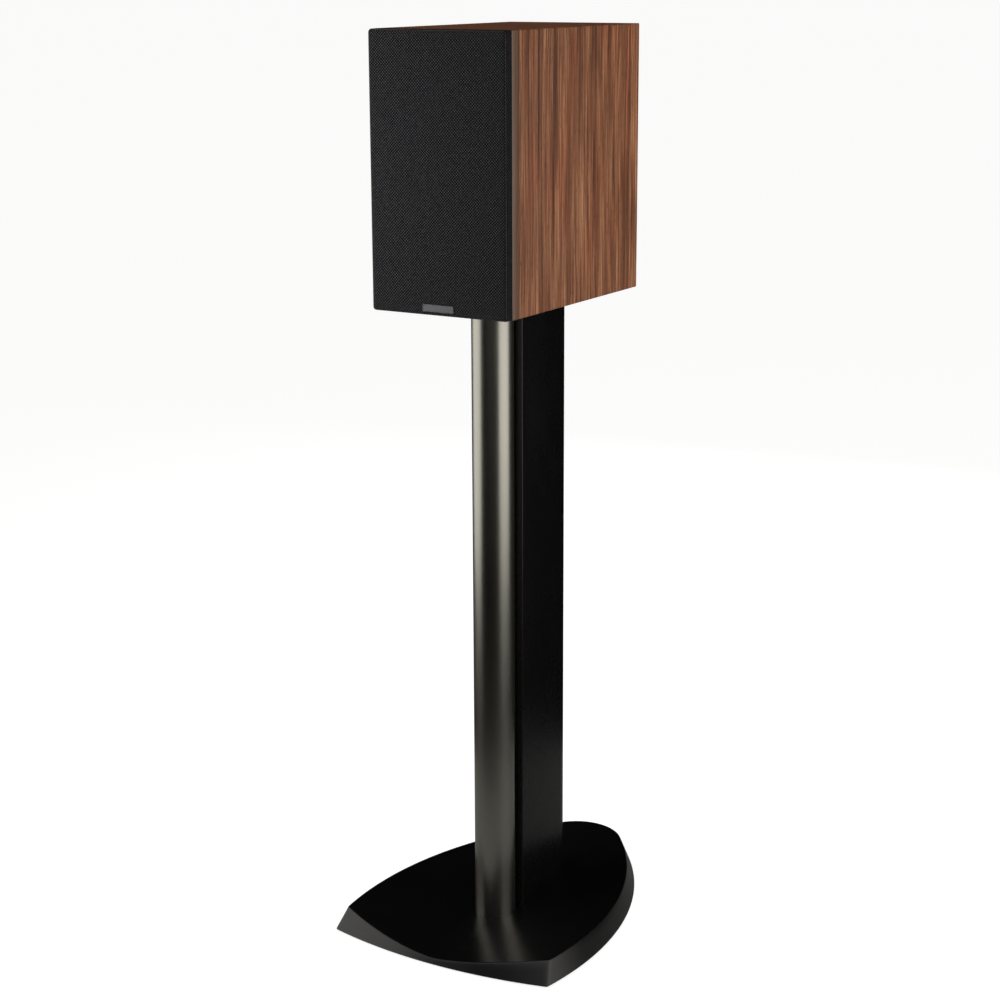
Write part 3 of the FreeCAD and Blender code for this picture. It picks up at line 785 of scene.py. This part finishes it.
def screw_shape(lo, hi, faces_back=False):
    """A pan-head screw along Y with a hexagon socket, from the box of the plain one."""
    x, z = (lo.x + hi.x) / 2, (lo.z + hi.z) / 2
    way = -1 if faces_back else 1
    start = Vector((x, hi.y if faces_back else lo.y, z))
    head_r, head, length = (hi.x - lo.x) / 2, 1.6 * MM, hi.y - lo.y
    socket_r, socket = 1.5 * MM, 1.1 * MM
    profile = [(socket, 0.0), (socket, socket_r)]
    profile += [(0.02 * MM, socket_r), (0.0, socket_r + 0.2 * MM), (0.0, head_r * 0.55)]
    profile += [(0.25 * MM, head_r * 0.86), (0.7 * MM, head_r), (head, head_r), (head, 1.7 * MM)]
    for k in range(int((length - head - 1.2 * MM) / (1.3 * MM))):
        turn = head + k * 1.3 * MM
        profile += [(turn + 0.3 * MM, 1.2 * MM), (turn + 0.65 * MM, 1.7 * MM), (turn + 1.0 * MM, 1.2 * MM)]
    profile.append((length, 0.0))
    steps = 24
    points, faces = lathe(Vector((0, 0, 0)), "Y", profile, steps)
    flat = math.cos(math.radians(30))
    for i, p in enumerate(points):
        in_socket = i <= 2 * steps and math.hypot(p.x, p.z) > 0
        if in_socket:
            angle = math.atan2(p.z, p.x) % math.radians(60)
            scale = flat / math.cos(angle - math.radians(30)) * 1.12
            points[i] = Vector((p.x * scale, p.y, p.z * scale))
    return [start + Vector((p.x, way * p.y, p.z)) for p in points], faces


class SPEAKER_OT_drivers(bpy.types.Operator):
    """Builds the woofer's and tweeter's moving surfaces and their screws"""
    bl_idname = "speaker.drivers"
    bl_label = "Drivers"

    def execute(self, context):
        self.woofer()
        self.tweeter()
        for node, back in (("woofer_screws", False), ("tweeter_screws", False),
                           ("terminal_cup_screws", True)):
            shapes = [screw_shape(lo, hi, back) for lo, hi in solids(node)]
            stand_for(as_piece(node.replace("screws", "socket_screws"), *merged(*shapes),
                               FINISHES["screw_black"]), node)
        return {"FINISHED"}

    def woofer(self):
        face = span("front_baffle")[0].y
        axis = Vector((0, face, middle("woofer_cone").z))
        roll = []
        inner, outer, thick = 46.2 * MM, 58.4 * MM, 0.9 * MM
        for side, steps in ((1, range(17)), (-1, range(16, -1, -1))):
            for k in steps:
                a = math.pi * k / 16
                r = (inner + outer) / 2 - (outer - inner) / 2 * math.cos(a)
                rise = 4.2 * MM * math.sin(a) ** 0.85
                lift = thick / 2 * side
                roll.append((1.3 * MM - rise - lift, r))
        surround = as_piece("woofer_half_roll", *lathe(axis, "Y", roll, 96),
                            FINISHES["surround_rubber"], sharp_angle=60)
        stand_for(surround, "woofer_surround")

        lo, hi = span("woofer_spider")
        # The frame narrows towards the rear, so the edge stops short of it to clear it at full stroke.
        inner, outer = 17.4 * MM, hi.x - 2.3 * MM
        level, waves, count = (lo.y + hi.y) / 2 - face, 6, 72
        spider = []
        for side, steps in ((1, range(count + 1)), (-1, range(count, -1, -1))):
            for k in steps:
                t = k / count
                swell = math.sin(math.pi * t) ** 0.3 if 0 < t < 1 else 0.0
                wave = 1.1 * MM * swell * math.sin(2 * math.pi * waves * t)
                spider.append((level + wave + side * 0.2 * MM, inner + (outer - inner) * t))
        stand_for(as_piece("corrugated_spider", *lathe(axis, "Y", spider, 72), FINISHES["spider_cloth"],
                           sharp_angle=70), "woofer_spider")

    def tweeter(self):
        face = span("front_baffle")[0].y
        axis = Vector((0, face, middle("tweeter_dome").z))
        hi = span("tweeter_surround")[1]
        inner, outer, thick = 12.95 * MM, hi.x, 0.35 * MM
        roll = []
        for side, steps in ((1, range(13)), (-1, range(12, -1, -1))):
            for k in steps:
                a = math.pi * k / 12
                r = (inner + outer) / 2 - (outer - inner) / 2 * math.cos(a)
                roll.append((hi.y - face - 0.4 * MM - 1.0 * MM * math.sin(a) - side * thick / 2, r))
        stand_for(as_piece("tweeter_half_roll", *lathe(axis, "Y", roll, 72),
                           FINISHES["surround_rubber"], sharp_angle=60), "tweeter_surround")


# ---------------------------------------------------------------- stand


class SPEAKER_OT_stand(bpy.types.Operator):
    """Builds the tube, the column, the top plate, the pads and the bolts"""
    bl_idname = "speaker.stand"
    bl_label = "Stand"

    def execute(self, context):
        settings = context.scene.stand_settings
        self.tube(settings.tube_steps)
        self.column(settings.column_edge)
        self.top_plate()
        self.pads_and_bolts()
        return {"FINISHED"}

    def tube(self, steps):
        lo, hi = span("front_tube")
        radius, wall, edge = (hi.x - lo.x) / 2, 2.5 * MM, 0.4 * MM
        axis = Vector((0, (lo.y + hi.y) / 2, 0))
        profile = [(lo.z, radius - edge), (lo.z + edge, radius), (hi.z - edge, radius),
                   (hi.z, radius - edge), (hi.z, radius - wall), (lo.z, radius - wall)]
        tube = as_piece("anodised_tube", *lathe(axis, "Z", profile, steps), FINISHES["tube_anodised"])
        stand_for(tube, "front_tube")

    def column(self, edge):
        """An extruded shell: flat front with rounded corners, straight sides, half-round back."""
        lo, hi = span("rear_column")
        half, wall, tip = hi.x, 3 * MM, 0.4 * MM
        mid_y = hi.y - half

        def section(inset, corner):
            h = half - inset
            front = softened([(-h, mid_y), (-h, lo.y + inset), (h, lo.y + inset), (h, mid_y)],
                             corner, joined=False, steps=5)
            rear = [Vector((h * math.cos(a), mid_y + h * math.sin(a)))
                    for a in (math.pi * k / 40 for k in range(1, 40))]
            return front + rear

        rings = []
        for z, inset in ((lo.z, tip), (lo.z + tip, 0.0), (hi.z - tip, 0.0), (hi.z, tip)):
            rings.append([Vector((p.x, p.y, z)) for p in section(inset, edge)])
        for z in (hi.z, lo.z):
            rings.append([Vector((p.x, p.y, z)) for p in section(wall, edge * 0.5)])
        column = as_piece("powder_coated_column", *loft(rings, joined=True), FINISHES["column_powder"])
        slot_half, slot_rise, slot_heights = 9 * MM, 14 * MM, (60 * MM, 690 * MM)
        for z in slot_heights:
            outline = []
            for k in range(32):
                a = 2 * math.pi * k / 32
                u, v = slot_half * math.cos(a), slot_half * math.sin(a)
                outline.append(Vector((u, v + math.copysign(slot_rise, v))))
            slot = prism(outline, mid_y, hi.y + 5 * MM, lambda u, v, y, z=z: Vector((u, y, z + v)))
            cut(column, slot)
        stand_for(column, "rear_column")

    def top_plate(self):
        lo, hi = span("stand_top_plate")
        shape = prism(rectangle(lo.x, hi.x, lo.y, hi.y, 14 * MM, 10), lo.z, hi.z, facing_up, edge=0.8 * MM)
        plate = as_piece("bevelled_top_plate", *shape, FINISHES["column_powder"])
        holes = []
        for node, shank, head in (("speaker_bolts", 2.7, 0), ("tie_rods", 4.2, 8.0)):
            for a, b in solids(node):
                at = Vector(((a.x + b.x) / 2, (a.y + b.y) / 2, 0))
                profile = [(lo.z - MM, 0), (lo.z - MM, shank * MM)]
                if head:
                    seat = hi.z - 3.4 * MM
                    profile += [(seat, shank * MM), (seat, head * MM), (hi.z + MM, head * MM)]
                else:
                    profile += [(hi.z + MM, shank * MM)]
                holes.append(lathe(at, "Z", profile + [(hi.z + MM, 0)], 32))
        cut(plate, merged(*holes))
        stand_for(plate, "stand_top_plate")

    def pads_and_bolts(self):
        pads, bolts = [], []
        for lo, hi in solids("isolation_pads"):
            at = Vector(((lo.x + hi.x) / 2, (lo.y + hi.y) / 2, lo.z))
            tall, bore, bulge = hi.z - lo.z, 4 * MM, 0.7 * MM
            r = (hi.x - lo.x) / 2 - bulge
            profile = [(0, bore), (0, r)]
            profile += [(tall * k / 6, r + bulge * math.sin(math.pi * k / 6) ** 0.6) for k in range(1, 6)]
            pads.append(lathe(at, "Z", profile + [(tall, r), (tall, bore)], 48))
        stand_for(as_piece("rubber_isolation_rings", *merged(*pads), FINISHES["pad_rubber"]),
                  "isolation_pads")
        for lo, hi in solids("speaker_bolts"):
            at, r = Vector(((lo.x + hi.x) / 2, (lo.y + hi.y) / 2, lo.z)), (hi.x - lo.x) / 2
            head, shank, long = 3.2 * MM, 2.5 * MM, hi.z - lo.z
            profile = [(2 * MM, 0), (2 * MM, 1.9 * MM), (0.1 * MM, 1.9 * MM), (0, 2.1 * MM),
                       (0, r - 0.5 * MM), (0.5 * MM, r), (head - 0.2 * MM, r), (head, r - 0.2 * MM),
                       (head, shank)]
            turns = int((long - head - MM) / (0.8 * MM))
            for k in range(turns):
                z = head + k * 0.8 * MM
                profile += [(z + 0.4 * MM, shank - 0.35 * MM), (z + 0.8 * MM, shank)]
            profile += [(long - 0.3 * MM, shank - 0.3 * MM), (long, 0)]
            bolts.append(lathe(at, "Z", profile, 24))
        stand_for(as_piece("socket_head_bolts", *merged(*bolts), FINISHES["screw_black"]),
                  "speaker_bolts")


# ---------------------------------------------------------------- foot

# The foot's plan and dish, in millimetres, as the maker would draw them.
SIDE_R, SIDE_X, SIDE_Y = 450.0, 296.0, -102.0
REAR_Y = 139.0
REAR_R = SIDE_R - math.hypot(SIDE_X, REAR_Y - SIDE_Y)
CORNER_Y, FRONT_Y = -188.0, -207.0
FOOT_Z, WALL_H, WALL_INSET, FRONT_INSET = 2.0, 32.0, 13.0, 22.0
RIM_H, RIM_INSET = 26.5, 10.5
DISH_FRONT, DISH_SLOPE, DISH_W, DISH_POWER = 8.0, 0.02, 130.0, 1.45


def arc_through(a, b, c, t):
    """A point on the arc from a through b to c, with t from 0 to 1."""
    ax, ay, bx, by, cx, cy = *a, *b, *c
    d = 2 * (ax * (by - cy) + bx * (cy - ay) + cx * (ay - by))
    aa, bb, cc = ax ** 2 + ay ** 2, bx ** 2 + by ** 2, cx ** 2 + cy ** 2
    ux = (aa * (by - cy) + bb * (cy - ay) + cc * (ay - by)) / d
    uy = (aa * (cx - bx) + bb * (ax - cx) + cc * (bx - ax)) / d
    start, end = math.atan2(ay - uy, ax - ux), math.atan2(cy - uy, cx - ux)
    turn = (end - start) % (2 * math.pi)
    if (math.atan2(by - uy, bx - ux) - start) % (2 * math.pi) > turn:
        turn -= 2 * math.pi
    r = math.hypot(ax - ux, ay - uy)
    return Vector((ux + r * math.cos(start + turn * t), uy + r * math.sin(start + turn * t)))


def foot_plan(inset, front_in, counts, corner):
    """The plan at one height, anticlockwise from the left front corner, its front corners rounded."""
    r_side, r_rear = SIDE_R - inset, REAR_R - inset
    y_corner = CORNER_Y + front_in
    x_corner = -SIDE_X + math.sqrt(r_side ** 2 - (y_corner - SIDE_Y) ** 2)
    reach = math.hypot(SIDE_X, REAR_Y - SIDE_Y)
    join = (-SIDE_X + r_side * SIDE_X / reach, SIDE_Y + r_side * (REAR_Y - SIDE_Y) / reach)
    right, left = (x_corner, y_corner), (-x_corner, y_corner)
    widest = (r_side - SIDE_X, SIDE_Y)
    arcs = [
        (left, (0.0, FRONT_Y + front_in), right, corner / (2 * x_corner), corner / (2 * x_corner)),
        (right, widest, join, corner / 300, 0.0),
        (join, (0.0, REAR_Y + r_rear), (-join[0], join[1]), 0.0, 0.0),
        ((-join[0], join[1]), (-widest[0], widest[1]), left, 0.0, corner / 300),
    ]
    pieces = []
    for (a, b, c, skip0, skip1), count in zip(arcs, counts):
        shares = [skip0 + (1 - skip0 - skip1) * k / count for k in range(count + 1)]
        pieces.append([arc_through(a, b, c, share) for share in shares])
    front, right_side, rear, left_side = pieces

    def turn(a, corner_point, b):
        corner_point = Vector(corner_point)
        return [a * (1 - t) ** 2 + corner_point * 2 * t * (1 - t) + b * t ** 2
                for t in (k / 6 for k in range(1, 6))]

    return (front + turn(front[-1], right, right_side[0]) + right_side[:-1] + rear[:-1] + left_side
            + turn(left_side[-1], left, front[0]))


def dish_height(x, y):
    """Height of the dished top: low along the middle and the front, rising to the side and rear rims."""
    floor = DISH_FRONT + DISH_SLOPE * (y - FRONT_Y)
    to_sides = [SIDE_R - RIM_INSET - math.hypot(sx + SIDE_X, y - SIDE_Y) for sx in (x, -x)]
    to_rear = REAR_Y + REAR_R - RIM_INSET - y
    rise = sum(max(0.0, 1 - away / DISH_W) ** (3 * DISH_POWER) for away in to_sides + [to_rear])
    return floor + (RIM_H - floor) * rise ** (1 / 3)


class SPEAKER_OT_foot(bpy.types.Operator):
    """Builds the dished foot with its rounded rim, and the levelling feet"""
    bl_idname = "speaker.foot"
    bl_label = "Foot"

    def execute(self, context):
        self.casting(context.scene.stand_settings.rim_edge / MM)
        self.levelling_feet()
        return {"FINISHED"}

    def casting(self, edge):
        counts, corner = (64, 72, 48, 72), 2.6
        low = foot_plan(0.0, 0.0, counts, corner)
        high = foot_plan(WALL_INSET, FRONT_INSET, counts, corner)
        centre = Vector((0.0, -30.0))
        rim, down, inward = [], [], []
        for a, b in zip(low, high):
            below, above = 0.0, 1.0
            for _ in range(30):
                t = (below + above) / 2
                spot = a.lerp(b, t)
                if FOOT_Z + WALL_H * t < dish_height(spot.x, spot.y):
                    below = t
                else:
                    above = t
            spot = a.lerp(b, below)
            rim.append(Vector((spot.x, spot.y, FOOT_Z + WALL_H * below)))
            down.append((Vector((a.x, a.y, FOOT_Z)) - rim[-1]).normalized())
            flat = (centre - spot).normalized()
            ahead = spot + flat * edge
            step = Vector((ahead.x, ahead.y, dish_height(ahead.x, ahead.y))) - rim[-1]
            inward.append(step.normalized())
        base = [Vector((p.x, p.y, FOOT_Z)) for p in low]
        rings = [[Vector((p.x, p.y, FOOT_Z)) for p in shrunk(low, 0.8)],
                 [p + (r - p).normalized() * 0.8 for p, r in zip(base, rim)]]
        for share in (0.35, 0.7):
            rings.append([p.lerp(r + d * edge, share) for p, r, d in zip(base, rim, down)])
        for k in range(5):
            t = k / 4
            rings.append([(r + d * edge) * (1 - t) ** 2 + r * 2 * t * (1 - t) + (r + i * edge) * t ** 2
                          for r, d, i in zip(rim, down, inward)])
        top = [r + i * edge for r, i in zip(rim, inward)]
        for share in (0.012, 0.03, 0.05, 0.075, 0.1, 0.13, 0.16, 0.2, 0.24, 0.28, 0.33, 0.38, 0.44, 0.5,
                      0.57, 0.64, 0.72, 0.8, 0.88, 0.95):
            ring = []
            for p in top:
                flat = Vector((p.x, p.y)).lerp(centre, share)
                ring.append(Vector((flat.x, flat.y, dish_height(flat.x, flat.y))))
            rings.append(ring)
        rings.append([Vector((centre.x, centre.y, dish_height(*centre)))])
        points, faces = loft(rings)
        foot = as_piece("dished_foot", [p * MM for p in points], faces, FINISHES["foot_black"])
        self.pockets(foot)
        stand_for(foot, "stand_foot")

    def pockets(self, foot):
        """Seats for the tube and the column, holes for the tie rods, recesses for the feet."""
        lo, hi = span("front_tube")
        tube = lathe(Vector((0, (lo.y + hi.y) / 2, 0)), "Z", [
            (lo.z, 0), (lo.z, hi.x + 0.1 * MM), (60 * MM, hi.x + 0.1 * MM), (60 * MM, 0)], 96)
        cut(foot, tube)
        lo, hi = span("rear_column")
        half = hi.x + 0.1 * MM
        outline = [Vector((-half, lo.y - 0.1 * MM)), Vector((half, lo.y - 0.1 * MM))]
        outline += [Vector((half * math.cos(a), hi.y - hi.x + half * math.sin(a)))
                    for a in (math.pi * k / 40 for k in range(41))]
        cut(foot, prism(outline, lo.z, 60 * MM, facing_up))

        def stepped(box, wide, seat, narrow, top, steps):
            """A hole from below, wide up to the seat and then narrow up to the top."""
            a, b = box
            at = Vector(((a.x + b.x) / 2, (a.y + b.y) / 2, 0))
            return lathe(at, "Z", [
                (-MM, 0), (-MM, wide), (seat, wide), (seat, narrow), (top, narrow), (top, 0)], steps)

        holes = [stepped(box, 9 * MM, 4.6 * MM, 4.2 * MM, 9 * MM, 32) for box in solids("tie_rods")]
        for node in LEVELLING_FEET:
            a, b = span(node)
            holes.append(stepped((a, b), (b.x - a.x) / 2 + MM, 6.2 * MM, 4 * MM, 15 * MM, 48))
        cut(foot, merged(*holes))

    def levelling_feet(self):
        """Rubber discs with a soft edge and shallow rings on a threaded stud."""
        for node in LEVELLING_FEET:
            lo, hi = span(node)
            at, r = Vector(((lo.x + hi.x) / 2, (lo.y + hi.y) / 2, 0)), (hi.x - lo.x) / 2
            thick, stud, top = 5 * MM, 3.95 * MM, hi.z
            profile = [(0, 0), (0, r * 0.3), (0.4 * MM, r * 0.36), (0, r * 0.42), (0, r * 0.6),
                       (0.4 * MM, r * 0.66), (0, r * 0.72), (0, r - 0.9 * MM), (0.25 * MM, r - 0.3 * MM),
                       (0.9 * MM, r), (thick - 0.8 * MM, r), (thick - 0.2 * MM, r - 0.25 * MM),
                       (thick, r - 0.8 * MM), (thick, stud)]
            turns = int((top - thick - 0.5 * MM) / (1.25 * MM))
            for k in range(turns):
                z = thick + k * 1.25 * MM
                profile += [(z + 0.6 * MM, stud - 0.6 * MM), (z + 1.2 * MM, stud)]
            profile += [(top - 0.4 * MM, stud - 0.5 * MM), (top, 0)]
            disc = as_piece(node.replace("foot", "disc"), *lathe(at, "Z", profile, 48),
                            FINISHES["pad_rubber"])
            stand_for(disc, node)


# ---------------------------------------------------------------- finishes on the CAD pieces


class SPEAKER_OT_finishes(bpy.types.Operator):
    """Gives every carried-over piece the finish that its record names"""
    bl_idname = "speaker.finishes"
    bl_label = "Finishes"

    def execute(self, context):
        for name, piece in frame["nodes"].items():
            finish = FINISHES[SLOT_OF[name]]
            piece.data.materials.clear()
            piece.data.materials.append(finish)
        return {"FINISHED"}


# ---------------------------------------------------------------- stage


def soft_box(name, at, aim, width, height, power, colour, **seen):
    """A rectangular studio light that looks at a point."""
    lamp = bpy.data.lights.new(name, "AREA")
    lamp.shape = "RECTANGLE"
    lamp.size, lamp.size_y = width, height
    lamp.energy = power
    lamp.color = linear(colour)[:3]
    light = bpy.data.objects.new(name, lamp)
    bpy.context.collection.objects.link(light)
    light.location = at
    light.rotation_euler = (Vector(aim) - Vector(at)).to_track_quat("-Z", "Y").to_euler()
    light.visible_camera = False
    for key, value in seen.items():
        setattr(light, key, value)
    return light


def card_rings(radius):
    """A thin disc of card, as rings to skin."""
    top, bottom = Vector((0, 0, 0)), Vector((0, 0, -0.2 * MM))
    return [[top], ring_points(top, radius, "Z", 96), ring_points(bottom, radius, "Z", 96)]


class SPEAKER_OT_stage(bpy.types.Operator):
    """Sets the pale floor, the studio lights and the camera"""
    bl_idname = "speaker.stage"
    bl_label = "Stage"

    def execute(self, context):
        self.floor()
        self.lights()
        self.camera(context.scene)
        return {"FINISHED"}

    def floor(self):
        """White paper that glows a little, so that it stays even out to the horizon. It isn't mirrored in
        the stand: a grey card just above it is, which keeps the black finishes black."""
        paper = new_finish("studio_floor_paper", "969694", 0.9, Specular_IOR_Level=0.1,
                           Emission_Color=linear("ffffff"), Emission_Strength=0.82)[0]
        steps = 96
        rings = [[Vector((0, 0, 0))]] + [
            ring_points(Vector((0, 0, 0)), r, "Z", steps) for r in (1.0, 5.0, 30.0, 300.0)]
        points, faces = loft(rings)
        floor = as_piece("studio_floor", points, faces[:-1], paper)
        if floor.data.polygons[0].normal.z < 0:
            floor.data.flip_normals()
        floor.visible_glossy = False
        grey = new_finish("grey_card", "828280", 0.9, Specular_IOR_Level=0.1)[0]
        card = as_piece("reflector_card", *loft(card_rings(0.56)), grey)
        card.location.z = 0.4 * MM
        card.visible_camera = card.visible_diffuse = card.visible_shadow = False

    def lights(self):
        """Tall soft boxes left and right, which draw the two long lights down the tube, a silk overhead
        and one behind the camera, and fills for the grille and the rear. The pale backdrop lights nothing."""
        world = bpy.data.worlds.new("studio")
        bpy.context.scene.world = world
        world.use_nodes = True
        tree = world.node_tree
        tree.nodes.clear()
        sky = add(tree, "Background", {"Color": linear("fdfdfd"), "Strength": 1.0})
        add(tree, "OutputWorld", {"Surface": sky.outputs[0]})
        for ray in ("diffuse", "glossy", "transmission", "scatter"):
            setattr(world.cycles_visibility, ray, False)
        sun = bpy.data.lights.new("overhead_silk", "SUN")
        sun.angle = math.radians(70)
        sun.energy = 1.5
        above = bpy.data.objects.new("overhead_silk", sun)
        bpy.context.collection.objects.link(above)
        above.rotation_euler = (math.radians(12), math.radians(8), 0)
        soft_box("right_soft_box", (1.6, 0.12, 0.82), (0, 0, 0.76), 1.9, 1.64, 20, "fffcf6")
        soft_box("left_soft_box", (-1.35, -0.6, 0.82), (0, -0.05, 0.76), 1.75, 1.64, 17, "fffdf8")
        soft_box("rear_soft_box", (-0.3, 2.3, 1.1), (0, 0, 0.7), 1.6, 1.2, 16, "f6f8ff", visible_glossy=False)
        soft_box("front_silk", (1.3, -2.6, 0.55), (0, 0, 0.5), 3.0, 1.1, 1.0, "fffdf6", visible_diffuse=False)
        soft_box("grille_fill", (-0.36, -0.52, 0.92), (-0.02, -0.17, 0.9), 0.2, 0.5, 7.0, "ffffff",
                 visible_glossy=False)

    def camera(self, scene):
        """Seen from the right of the front, a little from above."""
        spot = Vector((1.2181, -2.0628, 1.1168))
        turn, pitch, roll = math.radians(31.119), math.radians(14.261), math.radians(-0.245)
        back = Vector((math.sin(turn) * math.cos(pitch), -math.cos(turn) * math.cos(pitch), math.sin(pitch)))
        right = Vector((math.cos(turn), math.sin(turn), 0))
        up = back.cross(right)
        side = right * math.cos(roll) + up * math.sin(roll)
        rise = up * math.cos(roll) - right * math.sin(roll)
        lens = bpy.data.cameras.new("camera")
        lens.lens, lens.sensor_width = 75.775, 36
        lens.clip_end = 1000
        view = bpy.data.objects.new("camera", lens)
        bpy.context.collection.objects.link(view)
        turned = Matrix((side, rise, back)).transposed().to_4x4()
        view.matrix_world = Matrix.Translation(spot) @ turned
        scene.camera = view
        scene.view_settings.view_transform = "Standard"


# ---------------------------------------------------------------- sidebar


class SPEAKER_PT_sidebar(bpy.types.Panel):
    """Lists the speaker's settings and the steps that build it"""
    bl_idname = "SPEAKER_PT_sidebar"
    bl_label = "Speaker"
    bl_space_type = "VIEW_3D"
    bl_region_type = "UI"
    bl_category = "Speaker"

    def draw(self, context):
        for settings in (context.scene.speaker_settings, context.scene.stand_settings):
            box = self.layout.box()
            for name in settings.__annotations__:
                box.prop(settings, name)
        for step in STEPS:
            self.layout.operator(step.bl_idname)


STEPS = (SPEAKER_OT_finishes, SPEAKER_OT_cabinet, SPEAKER_OT_grille, SPEAKER_OT_drivers,
         SPEAKER_OT_stand, SPEAKER_OT_foot, SPEAKER_OT_stage)
CLASSES = (SpeakerSettings, StandSettings) + STEPS + (SPEAKER_PT_sidebar,)


def register():
    for item in CLASSES:
        bpy.utils.register_class(item)
    bpy.types.Scene.speaker_settings = PointerProperty(type=SpeakerSettings)
    bpy.types.Scene.stand_settings = PointerProperty(type=StandSettings)


def unregister():
    del bpy.types.Scene.stand_settings
    del bpy.types.Scene.speaker_settings
    for item in reversed(CLASSES):
        bpy.utils.unregister_class(item)


def main():
    register()
    FINISHES.update(make_finishes(bpy.context.scene.speaker_settings))
    bpy.ops.speaker.finishes()
    bpy.ops.speaker.cabinet()
    bpy.ops.speaker.grille()
    bpy.ops.speaker.drivers()
    bpy.ops.speaker.stand()
    bpy.ops.speaker.foot()
    bpy.ops.speaker.stage()
    bpy.context.view_layer.update()


if __name__ == "__main__":
    main()
